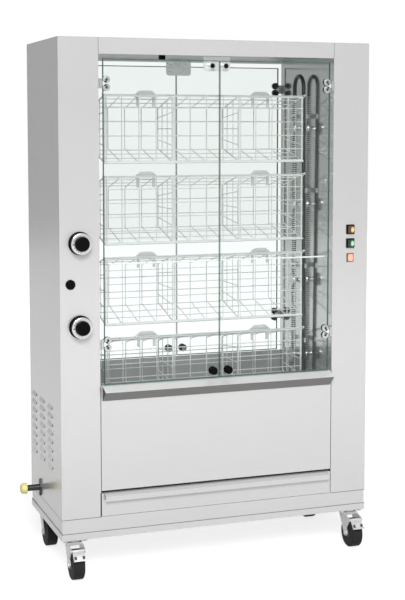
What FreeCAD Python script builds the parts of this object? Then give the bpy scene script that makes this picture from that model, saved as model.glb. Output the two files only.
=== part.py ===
"""Gas rotisserie grill: stainless cabinet with four driven wire baskets, glass doors and two drawers.

Millimetres. While modelling, x = 0 is the middle of the cabinet's width, y = 0 the middle of its depth,
-y is the front and z = 0 is the floor. Every piece is moved by ORIGIN_SHIFT when it is written, so that
the finished part has its origin at the middle of its footprint.
"""
import FreeCAD, Part
import math
import os

V = FreeCAD.Vector

# Cabinet
CABINET_WIDTH = 1100.0
CABINET_DEPTH = 455.0
COLUMN_WIDTH = 133.0
SHEET = 1.5
HEADER_HEIGHT = 51.5
CEILING_ABOVE_TOP_SPINDLE = 239.95

# Base tray and plinth
BASE_BOTTOM = 130.0
BASE_SHEET = 2.0
BASE_RIM = 22.0
PLINTH_HEIGHT = 70.0

# Drawers
LOWER_FRONT_HEIGHT = 76.5
LOWER_FRONT_GAP = 1.5
DRAWER_FRONT_GAP = 9.0
DEEP_FRONT_HEIGHT = 350.0
DRAWER_SIDE_GAP = 2.0
DRAWER_FRONT_DEPTH = 20.0
PAN_ABOVE_FRONT_BOTTOM = 13.0
PAN_DEPTH = 180.0
TRAY_ABOVE_PLINTH = 8.0
TRAY_DEPTH = 54.0
DRAWER_BOX_SIDE_GAP = 13.0
DRAWER_BOX_FROM_REAR = 32.5
PAN_RUNNER_LIFT = 45.0
TRAY_RUNNER_LIFT = 27.0
RUNNER_HEIGHT = 20.0
RUNNER_DEPTH = 10.0
RUNNER_FROM_FRONT = 22.5
TONGUE_HEIGHT = 4.0
RUNNER_CLEARANCE = 1.0
GRIP_REACH = 40.0
GRIP_NOSE_DROP = 16.0
GRIP_HEIGHT = 50.0
GRIP_SIDE_GAP = 7.0
HANDLE_REACH = 15.0
HANDLE_DROP = 25.0
HANDLE_SLOPE = 8.0
HANDLE_SIDE_GAP = 12.0

# Glass doors
GLASS = 6.0
DOOR_BOTTOM_GAP = 3.0
DOOR_TOP_GAP = 15.0
DOOR_SIDE_GAP = 14.0
DOOR_CENTRE_GAP = 3.0
UPPER_HINGE_FROM_DOOR_TOP = 79.5
LOWER_HINGE_FROM_DOOR_BOTTOM = 135.0
HINGE_HALF_HEIGHT = 16.0
HINGE_PIN_RADIUS = 2.5
HINGE_PIN_CLEARANCE = 0.1
HINGE_BARREL_RADIUS = 5.0
HINGE_BRACKET = 1.5
HINGE_AXIS_OUT = 5.0
KNUCKLE_HEIGHT = 8.0
KNUCKLE_CLEARANCE = 0.4
CLAMP_PLATE = 4.0
CLAMP_LOBE_RADIUS = 12.0
CLAMP_LOBE_SPACING = 25.0
CLAMP_BOLT_RADIUS = 4.0
CLAMP_HOLE_CLEARANCE = 0.5
DOOR_KNOB_RADIUS = 13.5
DOOR_KNOB_LENGTH = 22.0
DOOR_KNOB_FROM_CENTRE = 27.0
DOOR_KNOB_FROM_DOOR_BOTTOM = 26.0
DOOR_KNOB_STEM_RADIUS = 4.0

# Door stops under the ceiling
STOP_HALF_WIDTH = 47.0
STOP_DROP = 49.0
STOP_FROM_FRONT = 29.0
MAGNET_RADIUS = 10.0
MAGNET_FROM_CENTRE = 24.0
MAGNET_DROP = 32.0
STRIKE_THICKNESS = 2.0
MAGNET_GAP = 0.5
SWITCH_BOX = (17.0, 20.0, 15.0)
SWITCH_BOX_X = -190.0
SWITCH_BOX_FROM_FRONT = 37.5

# Baskets
CHAIN_PITCH = 12.7
BASKET_PITCH = 21.5 * CHAIN_PITCH
LOWEST_SPINDLE_ABOVE_DOOR_BOTTOM = 17.9
BASKET_COUNT = 4
BASKET_END_GAP = 54.0
BASKET_FRONT_Y = -100.0
BASKET_REAR_Y = 78.0
BASKET_FRONT_HALF = 117.0
BASKET_REAR_HALF = 76.0
WIRE = 3.0
COMPARTMENTS = 3
COLUMNS_PER_COMPARTMENT = 4
LID_ROWS = 5
CAGE_ROWS = 3
END_ROWS = 4
LID_RAIL = 8.0
LID_DOUBLE_WIRE = 4.0
LID_GAP = 1.5
LID_PIN_RADIUS = 1.4
LID_PIN_CLEARANCE = 0.1
LID_EYE_RADIUS = 4.5
LID_EYE_GAP = 2.0
LID_EYE_THICKNESS = 4.0
LID_EYE_REACH = 12.0
LID_EYE_FOOT_DROP = 6.0
TAB_FROM_PARTITION = 88.5
TAB_BOTTOM_WIDTH = 83.0
TAB_TOP_WIDTH = 41.0
TAB_HEIGHT = 18.0
TAB_Y = -70.0
TAB_THICKNESS = 3.0
TAB_LEG_SPACING = 56.0
TAB_LEG_WIDTH = 10.0
HUB_RADIUS = 24.0
HUB_THICKNESS = 4.0

# Spindles, bearings, sprockets and chain
SPINDLE_RADIUS = 8.0
BEARING_CLEARANCE = 0.1
BUSH_RADIUS = 13.0
BUSH_FLANGE_RADIUS = 18.0
BUSH_FLANGE = 3.0
BUSH_LENGTH = 12.0
SPINDLE_LEFT_OVERHANG = 10.0
CHAIN_FROM_WALL = 30.0
SPROCKET_TEETH = 18
SPROCKET_THICKNESS = 3.0
SPROCKET_HUB_RADIUS = 14.0
SPROCKET_HUB_LENGTH = 8.0
TOOTH_HEIGHT = 2.5
ROOT_DEPTH = 3.6
TOOTH_BASE_HALF_ANGLE = 5.0
TOOTH_TIP_HALF_ANGLE = 2.5
CHAIN_PIN_RADIUS = 1.8
CHAIN_PLATE_HALF_HEIGHT = 4.5
CHAIN_PLATE = 1.2
CHAIN_WIDTH = 8.0
MOTOR_BELOW_LOWEST_PITCHES = 20
MOTOR_LENGTH = 78.0
MOTOR_HALF_DEPTH = 48.0
MOTOR_HALF_HEIGHT = 52.0
MOTOR_FROM_WALL = 43.0
MOTOR_SHELF = 3.0
MOTOR_SHAFT_DEPTH = 26.0
MOTOR_BORE_DEPTH = 39.0

# Burners
BURNER_RADIUS = 7.0
BURNER_FROM_WALL = 28.0
BURNER_LEG_SPACING = 76.6
BURNER_FROM_CEILING = 46.0
BURNER_ABOVE_PAN = 80.0
BURNER_STUB = 20.0
CLIP_DROPS = (150.0, 415.0, 685.0, 954.0)
CLIP_HEIGHT = 16.0
CLIP_PLATE = 6.0
CLIP_BACK = 3.0
CLIP_HALF_WIDTH = 50.0
CLIP_STANDOFF_HALF_WIDTH = 8.0

# Gas fittings
INLET_Y = 80.0
INLET_ABOVE_PLINTH = 33.0
INLET_RADIUS = 10.65
INLET_REACH = 61.0
INLET_FLANGE_RADIUS = 15.0
INLET_EAR_RADIUS = 6.0
INLET_EAR_REACH = 24.0
INLET_FLANGE = 5.0
CAP_RADIUS = 19.0
CAP_LENGTH = 22.0
CAP_COVER = 17.0
MANIFOLD_RADIUS = 8.0
MANIFOLD_FROM_FRONT = 67.5
FEED_RADIUS = 5.0
FEED_FROM_FRONT = 45.5
FEED_SIDE_OFFSET = 13.0
FEED_CROSSING_DROP = 35.0
FEED_FROM_WALL = 13.0
PIPE_HOLE_CLEARANCE = 0.5
KNOB_FROM_SIDE = 67.0
KNOB_HEIGHTS = (1109.0, 836.5)
BEZEL_RADIUS = 38.0
BEZEL = 3.0
DIAL_RADIUS = 34.0
DIAL_REACH = 30.0
DIAL_GAP = 0.5
GRIP_RADIUS = 24.0
KNOB_REACH = 45.0
KNOB_SHAFT_RADIUS = 4.0
KNOB_SHAFT_CLEARANCE = 0.1
KNOB_SHAFT_DEPTH = 20.0
VALVE_HALF_WIDTH = 19.0
VALVE_HALF_HEIGHT = 25.0
VALVE_FRONT_GAP = 24.0

# Igniter
IGNITER_FROM_SIDE = 35.0
IGNITER_Z = 976.0
IGNITER_COLLAR_RADIUS = 16.0
IGNITER_BUTTON_RADIUS = 12.0
IGNITER_CLEARANCE = 0.1
IGNITER_NECK_RADIUS = 13.8
IGNITER_REACH = 10.0
IGNITER_COLLAR = 4.0
IGNITER_BODY_RADIUS = 15.0
IGNITER_BODY_LENGTH = 46.0
IGNITER_BUTTON_DEPTH = 12.0
IGNITER_TRAVEL = 5.0

# Switches and pilot lamp
SWITCH_FROM_SIDE = 66.0
ROCKER_HEIGHTS = (1129.0, 1081.0)
PILOT_Z = 1030.5
SWITCH_BEZEL_HALF_WIDTH = 16.5
SWITCH_BEZEL_HALF_HEIGHT = 18.5
SWITCH_BEZEL = 8.0
SWITCH_BODY_HALF_WIDTH = 14.5
SWITCH_BODY_HALF_HEIGHT = 16.0
SWITCH_BODY_DEPTH = 30.0
ROCKER_RADIUS = 13.0
ROCKER_HALF_WIDTH = 12.0
ROCKER_CLEARANCE = 0.5
ROCKER_AXIS_REACH = 2.0
ROCKER_FACE = 9.5
ROCKER_BACK = 5.0
ROCKER_REST_TILT = 10.0
ROCKER_PIN_RADIUS = 1.5
ROCKER_PIN_CLEARANCE = 0.1
ROCKER_PIN_BITE = 1.0
PILOT_HALF_WIDTH = 13.0
PILOT_HALF_HEIGHT = 16.0
PILOT_REACH = 6.0
PILOT_BODY_RADIUS = 11.0
PILOT_BODY_DEPTH = 28.0

# Cable gland
GLAND_FROM_SIDE = 66.0
GLAND_ABOVE_PLINTH = 62.0
GLAND_BORE = 5.5
GLAND_RADIUS = 8.0
GLAND_NUT_RADIUS = 12.0
GLAND_NUT = 5.0
GLAND_INSIDE = 10.0
GLAND_OUTSIDE = 20.0

# Castors
CASTOR_FROM_SIDE = 47.0
CASTOR_FROM_FRONT = 39.5
WHEEL_RADIUS = 50.0
WHEEL_HALF_WIDTH = 19.0
TYRE_THICKNESS = 10.0
TYRE_SHOULDER = 5.0
HUB_HALF_WIDTH = 20.0
CASTOR_TRAIL = 38.0
PLATE_HALF_X = 42.0
PLATE_HALF_Y = 36.0
CASTOR_PLATE = 3.0
RACE_RADIUS = 26.0
RACE_HEIGHT = 7.0
FORK_HEAD_RADIUS = 28.0
FORK_HEAD_HEIGHT = 9.5
FORK_HEAD_GAP = 0.5
FORK_INNER_HALF_WIDTH = 22.0
FORK_PLATE = 3.0
KINGPIN_RADIUS = 6.0
KINGPIN_CLEARANCE = 0.1
KINGPIN_HEAD_RADIUS = 9.0
KINGPIN_HEAD = 5.0
AXLE_RADIUS = 5.0
AXLE_CLEARANCE = 0.1
AXLE_HEAD_RADIUS = 8.0
AXLE_HEAD = 4.0
PEDAL_GAP = 5.0
PEDAL_THICKNESS = 4.0
PEDAL_HALF_WIDTH = 20.0
PEDAL_TOP_ANGLE = 64.0
PEDAL_TIP_ANGLE = 25.0
PEDAL_LIP = 8.0
PEDAL_PIN_RADIUS = 2.5
PEDAL_PIN_CLEARANCE = 0.1
PEDAL_EYE_RADIUS = 6.0
PEDAL_KNUCKLE_RADIUS = 5.0
PEDAL_CURVE_STEPS = 6
BOLT_X = 33.0
BOLT_Y = 27.0
BOLT_RADIUS = 4.0
BOLT_CLEARANCE = 0.5
BOLT_HEAD_RADIUS = 6.5
BOLT_HEAD = 5.0
NUT_HEIGHT = 6.5

# Louvres in the left side and flue slots in the top
LOUVRE_COLUMNS = (-76.0, 43.0, 161.0)
LOUVRE_TOP_Z = 550.0
LOUVRE_PITCH = 29.0
LOUVRE_ROWS = 8
LOUVRE_LENGTH = 58.0
LOUVRE_REACH = 5.0
LOUVRE_HOOD_HEIGHT = 14.0
LOUVRE_SLOT = 9.0
FLUE_SLOTS = 9
FLUE_SLOT_LENGTH = 60.0
FLUE_SLOT_WIDTH = 12.0
FLUE_SLOT_PITCH = 80.0
FLUE_ROWS = (-30.0, 30.0)

# Places across the width and through the depth, worked out from the sizes above
HALF_WIDTH = CABINET_WIDTH / 2
HALF_DEPTH = CABINET_DEPTH / 2
FRONT = -HALF_DEPTH
INNER_Y = HALF_DEPTH - SHEET
COLUMN_EDGE = HALF_WIDTH - COLUMN_WIDTH
WALL_OUTER = COLUMN_EDGE + SHEET
DOOR_EDGE = COLUMN_EDGE - DOOR_SIDE_GAP
HINGE_X = (COLUMN_EDGE + DOOR_EDGE) / 2
HINGE_Y = FRONT - HINGE_AXIS_OUT
GLASS_BACK = FRONT + GLASS
CLAMP_LOBE_X = DOOR_EDGE - CLAMP_LOBE_RADIUS
STOP_Y = FRONT + STOP_FROM_FRONT
SWITCH_BOX_Y = FRONT + SWITCH_BOX_FROM_FRONT
DRAWER_BOX_HALF_WIDTH = COLUMN_EDGE - DRAWER_BOX_SIDE_GAP
DRAWER_BOX_BACK = HALF_DEPTH - DRAWER_BOX_FROM_REAR
RUNNER_FRONT = FRONT + RUNNER_FROM_FRONT
GRIP_HALF_LENGTH = COLUMN_EDGE - GRIP_SIDE_GAP
HANDLE_HALF_LENGTH = COLUMN_EDGE - HANDLE_SIDE_GAP
BASKET_HALF_LENGTH = COLUMN_EDGE - BASKET_END_GAP
TAB_X = BASKET_HALF_LENGTH / COMPARTMENTS + TAB_FROM_PARTITION
CHAIN_X = COLUMN_EDGE + CHAIN_FROM_WALL
MOTOR_FRONT_X = COLUMN_EDGE + MOTOR_FROM_WALL
BURNER_X = COLUMN_EDGE - BURNER_FROM_WALL
BURNER_STUB_END = BURNER_X + BURNER_STUB
BURNER_LEG_Y = BURNER_LEG_SPACING / 2
MANIFOLD_Y = FRONT + MANIFOLD_FROM_FRONT
FEED_Y = FRONT + FEED_FROM_FRONT
FEED_RIGHT_X = COLUMN_EDGE + FEED_FROM_WALL
KNOB_X = KNOB_FROM_SIDE - HALF_WIDTH
IGNITER_X = IGNITER_FROM_SIDE - HALF_WIDTH
SWITCH_X = HALF_WIDTH - SWITCH_FROM_SIDE
GLAND_X = HALF_WIDTH - GLAND_FROM_SIDE
INLET_END = HALF_WIDTH + INLET_REACH
CASTOR_X = HALF_WIDTH - CASTOR_FROM_SIDE
CASTOR_Y = HALF_DEPTH - CASTOR_FROM_FRONT
LID_AXIS_Y = BASKET_FRONT_Y + WIRE / 2
CAGE_FRONT_Y = BASKET_FRONT_Y + WIRE + LID_GAP
ROCKER_AXIS_Y = FRONT - ROCKER_AXIS_REACH
VALVE_FRONT = FRONT + VALVE_FRONT_GAP

# Heights, worked out upwards from the castors
PLINTH_TOP = BASE_BOTTOM + PLINTH_HEIGHT
LOWER_FRONT_BOTTOM = PLINTH_TOP + LOWER_FRONT_GAP
LOWER_FRONT_TOP = LOWER_FRONT_BOTTOM + LOWER_FRONT_HEIGHT
DEEP_FRONT_BOTTOM = LOWER_FRONT_TOP + DRAWER_FRONT_GAP
DEEP_FRONT_TOP = DEEP_FRONT_BOTTOM + DEEP_FRONT_HEIGHT
SHELF_Z = (LOWER_FRONT_TOP + DEEP_FRONT_BOTTOM) / 2
PAN_BOTTOM = DEEP_FRONT_BOTTOM + PAN_ABOVE_FRONT_BOTTOM
PAN_RIM = PAN_BOTTOM + PAN_DEPTH
TRAY_BOTTOM = PLINTH_TOP + TRAY_ABOVE_PLINTH
TRAY_RIM = TRAY_BOTTOM + TRAY_DEPTH
DEEP_RUNNER_Z = PAN_BOTTOM + PAN_RUNNER_LIFT
LOWER_RUNNER_Z = TRAY_BOTTOM + TRAY_RUNNER_LIFT
INLET_Z = PLINTH_TOP + INLET_ABOVE_PLINTH
GLAND_Z = PLINTH_TOP + GLAND_ABOVE_PLINTH
FEED_CROSSING_Z = PLINTH_TOP - FEED_CROSSING_DROP
BURNER_BOTTOM = PAN_RIM + BURNER_ABOVE_PAN
DOOR_BOTTOM = DEEP_FRONT_TOP + DOOR_BOTTOM_GAP
DOOR_KNOB_Z = DOOR_BOTTOM + DOOR_KNOB_FROM_DOOR_BOTTOM
LOWEST_BASKET_Z = DOOR_BOTTOM + LOWEST_SPINDLE_ABOVE_DOOR_BOTTOM
MOTOR_Z = LOWEST_BASKET_Z - MOTOR_BELOW_LOWEST_PITCHES * CHAIN_PITCH
TOP_BASKET_Z = LOWEST_BASKET_Z + (BASKET_COUNT - 1) * BASKET_PITCH
CEILING_Z = TOP_BASKET_Z + CEILING_ABOVE_TOP_SPINDLE
TOP_SHEET_BOTTOM = CEILING_Z + HEADER_HEIGHT
CABINET_TOP = TOP_SHEET_BOTTOM + SHEET
DOOR_TOP = CEILING_Z - DOOR_TOP_GAP
HINGE_HEIGHTS = (DOOR_TOP - UPPER_HINGE_FROM_DOOR_TOP, DOOR_BOTTOM + LOWER_HINGE_FROM_DOOR_BOTTOM)
MAGNET_Z = CEILING_Z - MAGNET_DROP
BURNER_TOP = CEILING_Z - BURNER_FROM_CEILING
BURNER_BEND_Z = BURNER_TOP - BURNER_RADIUS - BURNER_LEG_Y
LID_AXIS_Z = BASKET_FRONT_HALF - WIRE / 2

# Castors and drive
PITCH_RADIUS = CHAIN_PITCH / (2 * math.sin(math.pi / SPROCKET_TEETH))
FORK_TOP = BASE_BOTTOM - CASTOR_PLATE - RACE_HEIGHT - FORK_HEAD_GAP
FORK_HEAD_BOTTOM = FORK_TOP - FORK_HEAD_HEIGHT
FORK_OUTER_HALF_WIDTH = FORK_INNER_HALF_WIDTH + FORK_PLATE
PEDAL_INNER = WHEEL_RADIUS + PEDAL_GAP
PEDAL_OUTER = PEDAL_INNER + PEDAL_THICKNESS
PEDAL_PIVOT_RADIUS = PEDAL_INNER + PEDAL_THICKNESS / 2

# How far the whole part reaches, which sets its origin
LEFT_REACH = INLET_END + CAP_LENGTH - CAP_COVER
RIGHT_REACH = HALF_WIDTH
PEDAL_TIP = math.radians(PEDAL_TIP_ANGLE)
FRONT_REACH = CASTOR_Y + CASTOR_TRAIL + (PEDAL_OUTER + PEDAL_LIP) * math.cos(PEDAL_TIP)
REAR_REACH = HALF_DEPTH + DOOR_KNOB_LENGTH
ORIGIN_SHIFT = V((LEFT_REACH - RIGHT_REACH) / 2, (FRONT_REACH - REAR_REACH) / 2, 0)


def box(x0, x1, y0, y1, z0, z1):
    """A block between the given faces."""
    return Part.makeBox(x1 - x0, y1 - y0, z1 - z0, V(x0, y0, z0))


def rod_x(x0, x1, y, z, radius):
    """A round bar along x."""
    return Part.makeCylinder(radius, x1 - x0, V(x0, y, z), V(1, 0, 0))


def rod_y(x, y0, y1, z, radius):
    """A round bar along y."""
    return Part.makeCylinder(radius, y1 - y0, V(x, y0, z), V(0, 1, 0))


def rod_z(x, y, z0, z1, radius):
    """A round bar along z."""
    return Part.makeCylinder(radius, z1 - z0, V(x, y, z0), V(0, 0, 1))


def prism_x(points, x0, x1):
    """A (y, z) outline drawn out along x."""
    corners = [V(x0, y, z) for y, z in points]
    return Part.Face(Part.makePolygon(corners + corners[:1])).extrude(V(x1 - x0, 0, 0))


def prism_y(points, y0, y1):
    """An (x, z) outline drawn out along y."""
    corners = [V(x, y0, z) for x, z in points]
    return Part.Face(Part.makePolygon(corners + corners[:1])).extrude(V(0, y1 - y0, 0))


def joined(shapes):
    """One solid from pieces that touch or overlap."""
    return shapes[0].multiFuse(shapes[1:]).removeSplitter()


def without(shape, tools):
    """The shape with every tool cut away."""
    return shape.cut(Part.makeCompound(tools))


def flip_x(shape):
    """The mirror image across the middle of the width."""
    return shape.mirror(V(0, 0, 0), V(1, 0, 0))


def flip_y(shape):
    """The mirror image across the middle of the depth."""
    return shape.mirror(V(0, 0, 0), V(0, 1, 0))


def moved(shape, offset):
    """A copy of the shape, moved."""
    copy = shape.copy()
    copy.translate(offset)
    return copy


def hollow_box(outer, walls):
    """A block outer = (x0, x1, y0, y1, z0, z1) with a cavity, each wall as thick as in walls."""
    x0, x1, y0, y1, z0, z1 = outer
    a, b, c, d, e, f = walls
    return box(*outer).cut(box(x0 + a, x1 - b, y0 + c, y1 - d, z0 + e, z1 - f))


def pipe(points, radius):
    """A pipe along straight runs, with a ball at each corner."""
    pieces = []
    for start, end in zip(points, points[1:]):
        run = end - start
        pieces.append(Part.makeCylinder(radius, run.Length, start, run))
    for corner in points[1:-1]:
        pieces.append(Part.makeSphere(radius, corner))
    return joined(pieces)


def basket_heights():
    """Heights of the basket spindles, lowest first."""
    return [LOWEST_BASKET_Z + i * BASKET_PITCH for i in range(BASKET_COUNT)]


def castor_places():
    """Swivel axes of the castors: front left, front right, rear left, rear right."""
    return [(x, y) for y in (-CASTOR_Y, CASTOR_Y) for x in (-CASTOR_X, CASTOR_X)]


def castor_bolt_places():
    """Centres of the castor bolts, four to a castor."""
    return [
        (x + i * BOLT_X, y + j * BOLT_Y)
        for x, y in castor_places()
        for i in (-1, 1)
        for j in (-1, 1)
    ]


def base_frame():
    """Flat tray with a low upturned rim that the castors are bolted to."""
    tray = hollow_box(
        (-HALF_WIDTH, HALF_WIDTH, -HALF_DEPTH, HALF_DEPTH, BASE_BOTTOM, BASE_BOTTOM + BASE_RIM),
        (BASE_SHEET, BASE_SHEET, BASE_SHEET, BASE_SHEET, BASE_SHEET, 0),
    )
    hole = BOLT_RADIUS + BOLT_CLEARANCE
    tools = [rod_z(x, y, BASE_BOTTOM, BASE_BOTTOM + BASE_SHEET, hole) for x, y in castor_bolt_places()]
    return without(tray, tools)


def plinth():
    """Inverted tray that stands inside the base rim and carries the columns."""
    half_x = HALF_WIDTH - BASE_SHEET
    half_y = HALF_DEPTH - BASE_SHEET
    cover = hollow_box(
        (-half_x, half_x, -half_y, half_y, BASE_BOTTOM + BASE_SHEET, PLINTH_TOP),
        (SHEET, SHEET, SHEET, SHEET, 0, SHEET),
    )
    hole = FEED_RADIUS + PIPE_HOLE_CLEARANCE
    left_hole = rod_z(KNOB_X - FEED_SIDE_OFFSET, FEED_Y, PLINTH_TOP - SHEET, PLINTH_TOP, hole)
    right_hole = rod_z(FEED_RIGHT_X, FEED_Y, PLINTH_TOP - SHEET, PLINTH_TOP, hole)
    return without(cover, [left_hole, right_hole])


def column_shell():
    """Right-hand column casing, open towards the cooking chamber."""
    return hollow_box(
        (COLUMN_EDGE, HALF_WIDTH, -HALF_DEPTH, HALF_DEPTH, PLINTH_TOP, TOP_SHEET_BOTTOM),
        (0, SHEET, SHEET, SHEET, SHEET, SHEET),
    )


def louvre(y, z):
    """Pressed hood over one slot in the left side."""
    outer = -HALF_WIDTH
    profile = [
        (outer, z + LOUVRE_HOOD_HEIGHT / 2),
        (outer - LOUVRE_REACH, z - LOUVRE_HOOD_HEIGHT / 2),
        (outer - LOUVRE_REACH + SHEET, z - LOUVRE_HOOD_HEIGHT / 2),
        (outer + SHEET, z + LOUVRE_HOOD_HEIGHT / 2),
    ]
    return prism_y(profile, y - LOUVRE_LENGTH / 2, y + LOUVRE_LENGTH / 2)


def left_column():
    """Left column casing with louvres, gas inlet, knob, igniter and feed pipe holes."""
    places = [
        (y, LOUVRE_TOP_Z - row * LOUVRE_PITCH)
        for y in LOUVRE_COLUMNS
        for row in range(LOUVRE_ROWS)
    ]
    shell = flip_x(column_shell())
    tools = []
    half = LOUVRE_LENGTH / 2
    for y, z in places:
        bottom = z - LOUVRE_HOOD_HEIGHT / 2
        slot = box(-HALF_WIDTH, -HALF_WIDTH + SHEET, y - half, y + half, bottom, bottom + LOUVRE_SLOT)
        tools.append(slot)
    tools.append(rod_x(-HALF_WIDTH, -HALF_WIDTH + SHEET, INLET_Y, INLET_Z, INLET_RADIUS))
    for z in KNOB_HEIGHTS:
        tools.append(rod_y(KNOB_X, FRONT, FRONT + SHEET, z, KNOB_SHAFT_RADIUS + PIPE_HOLE_CLEARANCE))
    tools.append(rod_y(IGNITER_X, FRONT, FRONT + SHEET, IGNITER_Z, IGNITER_NECK_RADIUS))
    hole = FEED_RADIUS + PIPE_HOLE_CLEARANCE
    tools.append(rod_z(KNOB_X - FEED_SIDE_OFFSET, FEED_Y, PLINTH_TOP, PLINTH_TOP + SHEET, hole))
    shell = without(shell, tools)
    return joined([shell] + [louvre(y, z) for y, z in places])


def right_column():
    """Right column casing with openings for the switches, pilot lamp, cable gland and feed pipe."""
    tools = []
    for z in ROCKER_HEIGHTS:
        tools.append(
            box(
                SWITCH_X - SWITCH_BODY_HALF_WIDTH,
                SWITCH_X + SWITCH_BODY_HALF_WIDTH,
                FRONT,
                FRONT + SHEET,
                z - SWITCH_BODY_HALF_HEIGHT,
                z + SWITCH_BODY_HALF_HEIGHT,
            )
        )
    tools.append(rod_y(SWITCH_X, FRONT, FRONT + SHEET, PILOT_Z, PILOT_BODY_RADIUS))
    tools.append(rod_y(GLAND_X, INNER_Y, HALF_DEPTH, GLAND_Z, GLAND_RADIUS))
    hole = FEED_RADIUS + PIPE_HOLE_CLEARANCE
    tools.append(rod_z(FEED_RIGHT_X, FEED_Y, PLINTH_TOP, PLINTH_TOP + SHEET, hole))
    return without(column_shell(), tools)


def inner_wall():
    """Polished right-hand wall of the cooking chamber, with bearing and burner holes."""
    plate = box(COLUMN_EDGE, WALL_OUTER, -INNER_Y, INNER_Y, PLINTH_TOP + SHEET, TOP_SHEET_BOTTOM - SHEET)
    tools = [rod_x(COLUMN_EDGE, WALL_OUTER, 0, z, BUSH_RADIUS) for z in basket_heights()]
    hole = FEED_RADIUS + PIPE_HOLE_CLEARANCE
    tools.append(rod_x(COLUMN_EDGE, WALL_OUTER, -BURNER_LEG_Y, BURNER_BOTTOM, hole))
    return without(plate, tools)


def flue_slots(z0, z1):
    """Tools for the rows of flue slots between two heights."""
    tools = []
    for row in FLUE_ROWS:
        for i in range(FLUE_SLOTS):
            middle = (i - (FLUE_SLOTS - 1) / 2) * FLUE_SLOT_PITCH
            x0 = middle - FLUE_SLOT_LENGTH / 2
            x1 = middle + FLUE_SLOT_LENGTH / 2
            tools.append(box(x0, x1, row - FLUE_SLOT_WIDTH / 2, row + FLUE_SLOT_WIDTH / 2, z0, z1))
    return tools


def top_cover():
    """Flat top sheet with flue slots."""
    plate = box(-HALF_WIDTH, HALF_WIDTH, -HALF_DEPTH, HALF_DEPTH, TOP_SHEET_BOTTOM, CABINET_TOP)
    return without(plate, flue_slots(TOP_SHEET_BOTTOM, CABINET_TOP))


def front_header():
    """Front strip above the doors, with a return under the top sheet."""
    face = box(-COLUMN_EDGE, COLUMN_EDGE, FRONT, FRONT + SHEET, CEILING_Z, TOP_SHEET_BOTTOM)
    fold = box(
        -COLUMN_EDGE,
        COLUMN_EDGE,
        FRONT,
        FRONT + DRAWER_FRONT_DEPTH,
        TOP_SHEET_BOTTOM - SHEET,
        TOP_SHEET_BOTTOM,
    )
    return joined([face, fold])


def ceiling_panel():
    """Ceiling of the cooking chamber, with flue slots."""
    plate = box(-COLUMN_EDGE, COLUMN_EDGE, -INNER_Y, INNER_Y, CEILING_Z, CEILING_Z + SHEET)
    return without(plate, flue_slots(CEILING_Z, CEILING_Z + SHEET))


def rear_lower_panel():
    """Fixed panel under the rear doors."""
    return box(-COLUMN_EDGE, COLUMN_EDGE, INNER_Y, HALF_DEPTH, PLINTH_TOP, DEEP_FRONT_TOP)


def drawer_shelf():
    """Sheet between the two drawers."""
    front = FRONT + DRAWER_FRONT_DEPTH
    return box(-COLUMN_EDGE, COLUMN_EDGE, front, INNER_Y, SHELF_Z - SHEET / 2, SHELF_Z + SHEET / 2)


def drawer_runner(z):
    """Right-hand fixed runner with a groove for the drawer's tongue."""
    inner = COLUMN_EDGE - RUNNER_DEPTH
    half = RUNNER_HEIGHT / 2
    groove = TONGUE_HEIGHT / 2 + RUNNER_CLEARANCE
    block = box(inner, COLUMN_EDGE, RUNNER_FRONT, DRAWER_BOX_BACK, z - half, z + half)
    outer = COLUMN_EDGE - 2 * SHEET
    return block.cut(box(inner, outer, RUNNER_FRONT, DRAWER_BOX_BACK, z - groove, z + groove))


def drawer_runners():
    """Four fixed runners, two to a drawer."""
    right = [drawer_runner(z) for z in (DEEP_RUNNER_Z, LOWER_RUNNER_Z)]
    return right + [flip_x(runner) for runner in right]


def drawer_tongue(z):
    """Right-hand sliding rail on the side of a drawer box."""
    end = COLUMN_EDGE - 2 * SHEET - RUNNER_CLEARANCE
    back = DRAWER_BOX_BACK - DRAWER_FRONT_DEPTH
    half = TONGUE_HEIGHT / 2
    return box(DRAWER_BOX_HALF_WIDTH, end, FRONT + DRAWER_FRONT_DEPTH, back, z - half, z + half)


def drawer_box(z0, z1, runner_z):
    """Open sheet tray with its two sliding rails."""
    half = DRAWER_BOX_HALF_WIDTH
    tray = hollow_box(
        (-half, half, FRONT + DRAWER_FRONT_DEPTH, DRAWER_BOX_BACK, z0, z1),
        (SHEET, SHEET, SHEET, SHEET, SHEET, 0),
    )
    tongue = drawer_tongue(runner_z)
    return joined([tray, tongue, flip_x(tongue)])


def drawer_front(z0, z1):
    """Folded front panel, open at the back."""
    half = COLUMN_EDGE - DRAWER_SIDE_GAP
    return hollow_box(
        (-half, half, FRONT, FRONT + DRAWER_FRONT_DEPTH, z0, z1),
        (SHEET, SHEET, SHEET, 0, SHEET, SHEET),
    )


def triangle_tube(points, wall, x0, x1):
    """Folded triangular sheet channel along x, open at both ends."""
    corners = [V(x0, y, z) for y, z in points]
    outline = Part.makePolygon(corners + corners[:1])
    inner = outline.makeOffset2D(-wall, 2)
    return Part.Face(outline).cut(Part.Face(inner)).extrude(V(x1 - x0, 0, 0))


def deep_drawer_front():
    """Deep front with the sloped grip along its top edge."""
    top = DEEP_FRONT_TOP
    grip = triangle_tube(
        [(FRONT, top), (FRONT - GRIP_REACH, top - GRIP_NOSE_DROP), (FRONT, top - GRIP_HEIGHT)],
        SHEET,
        -GRIP_HALF_LENGTH,
        GRIP_HALF_LENGTH,
    )
    return joined([drawer_front(DEEP_FRONT_BOTTOM, top), grip])


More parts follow.
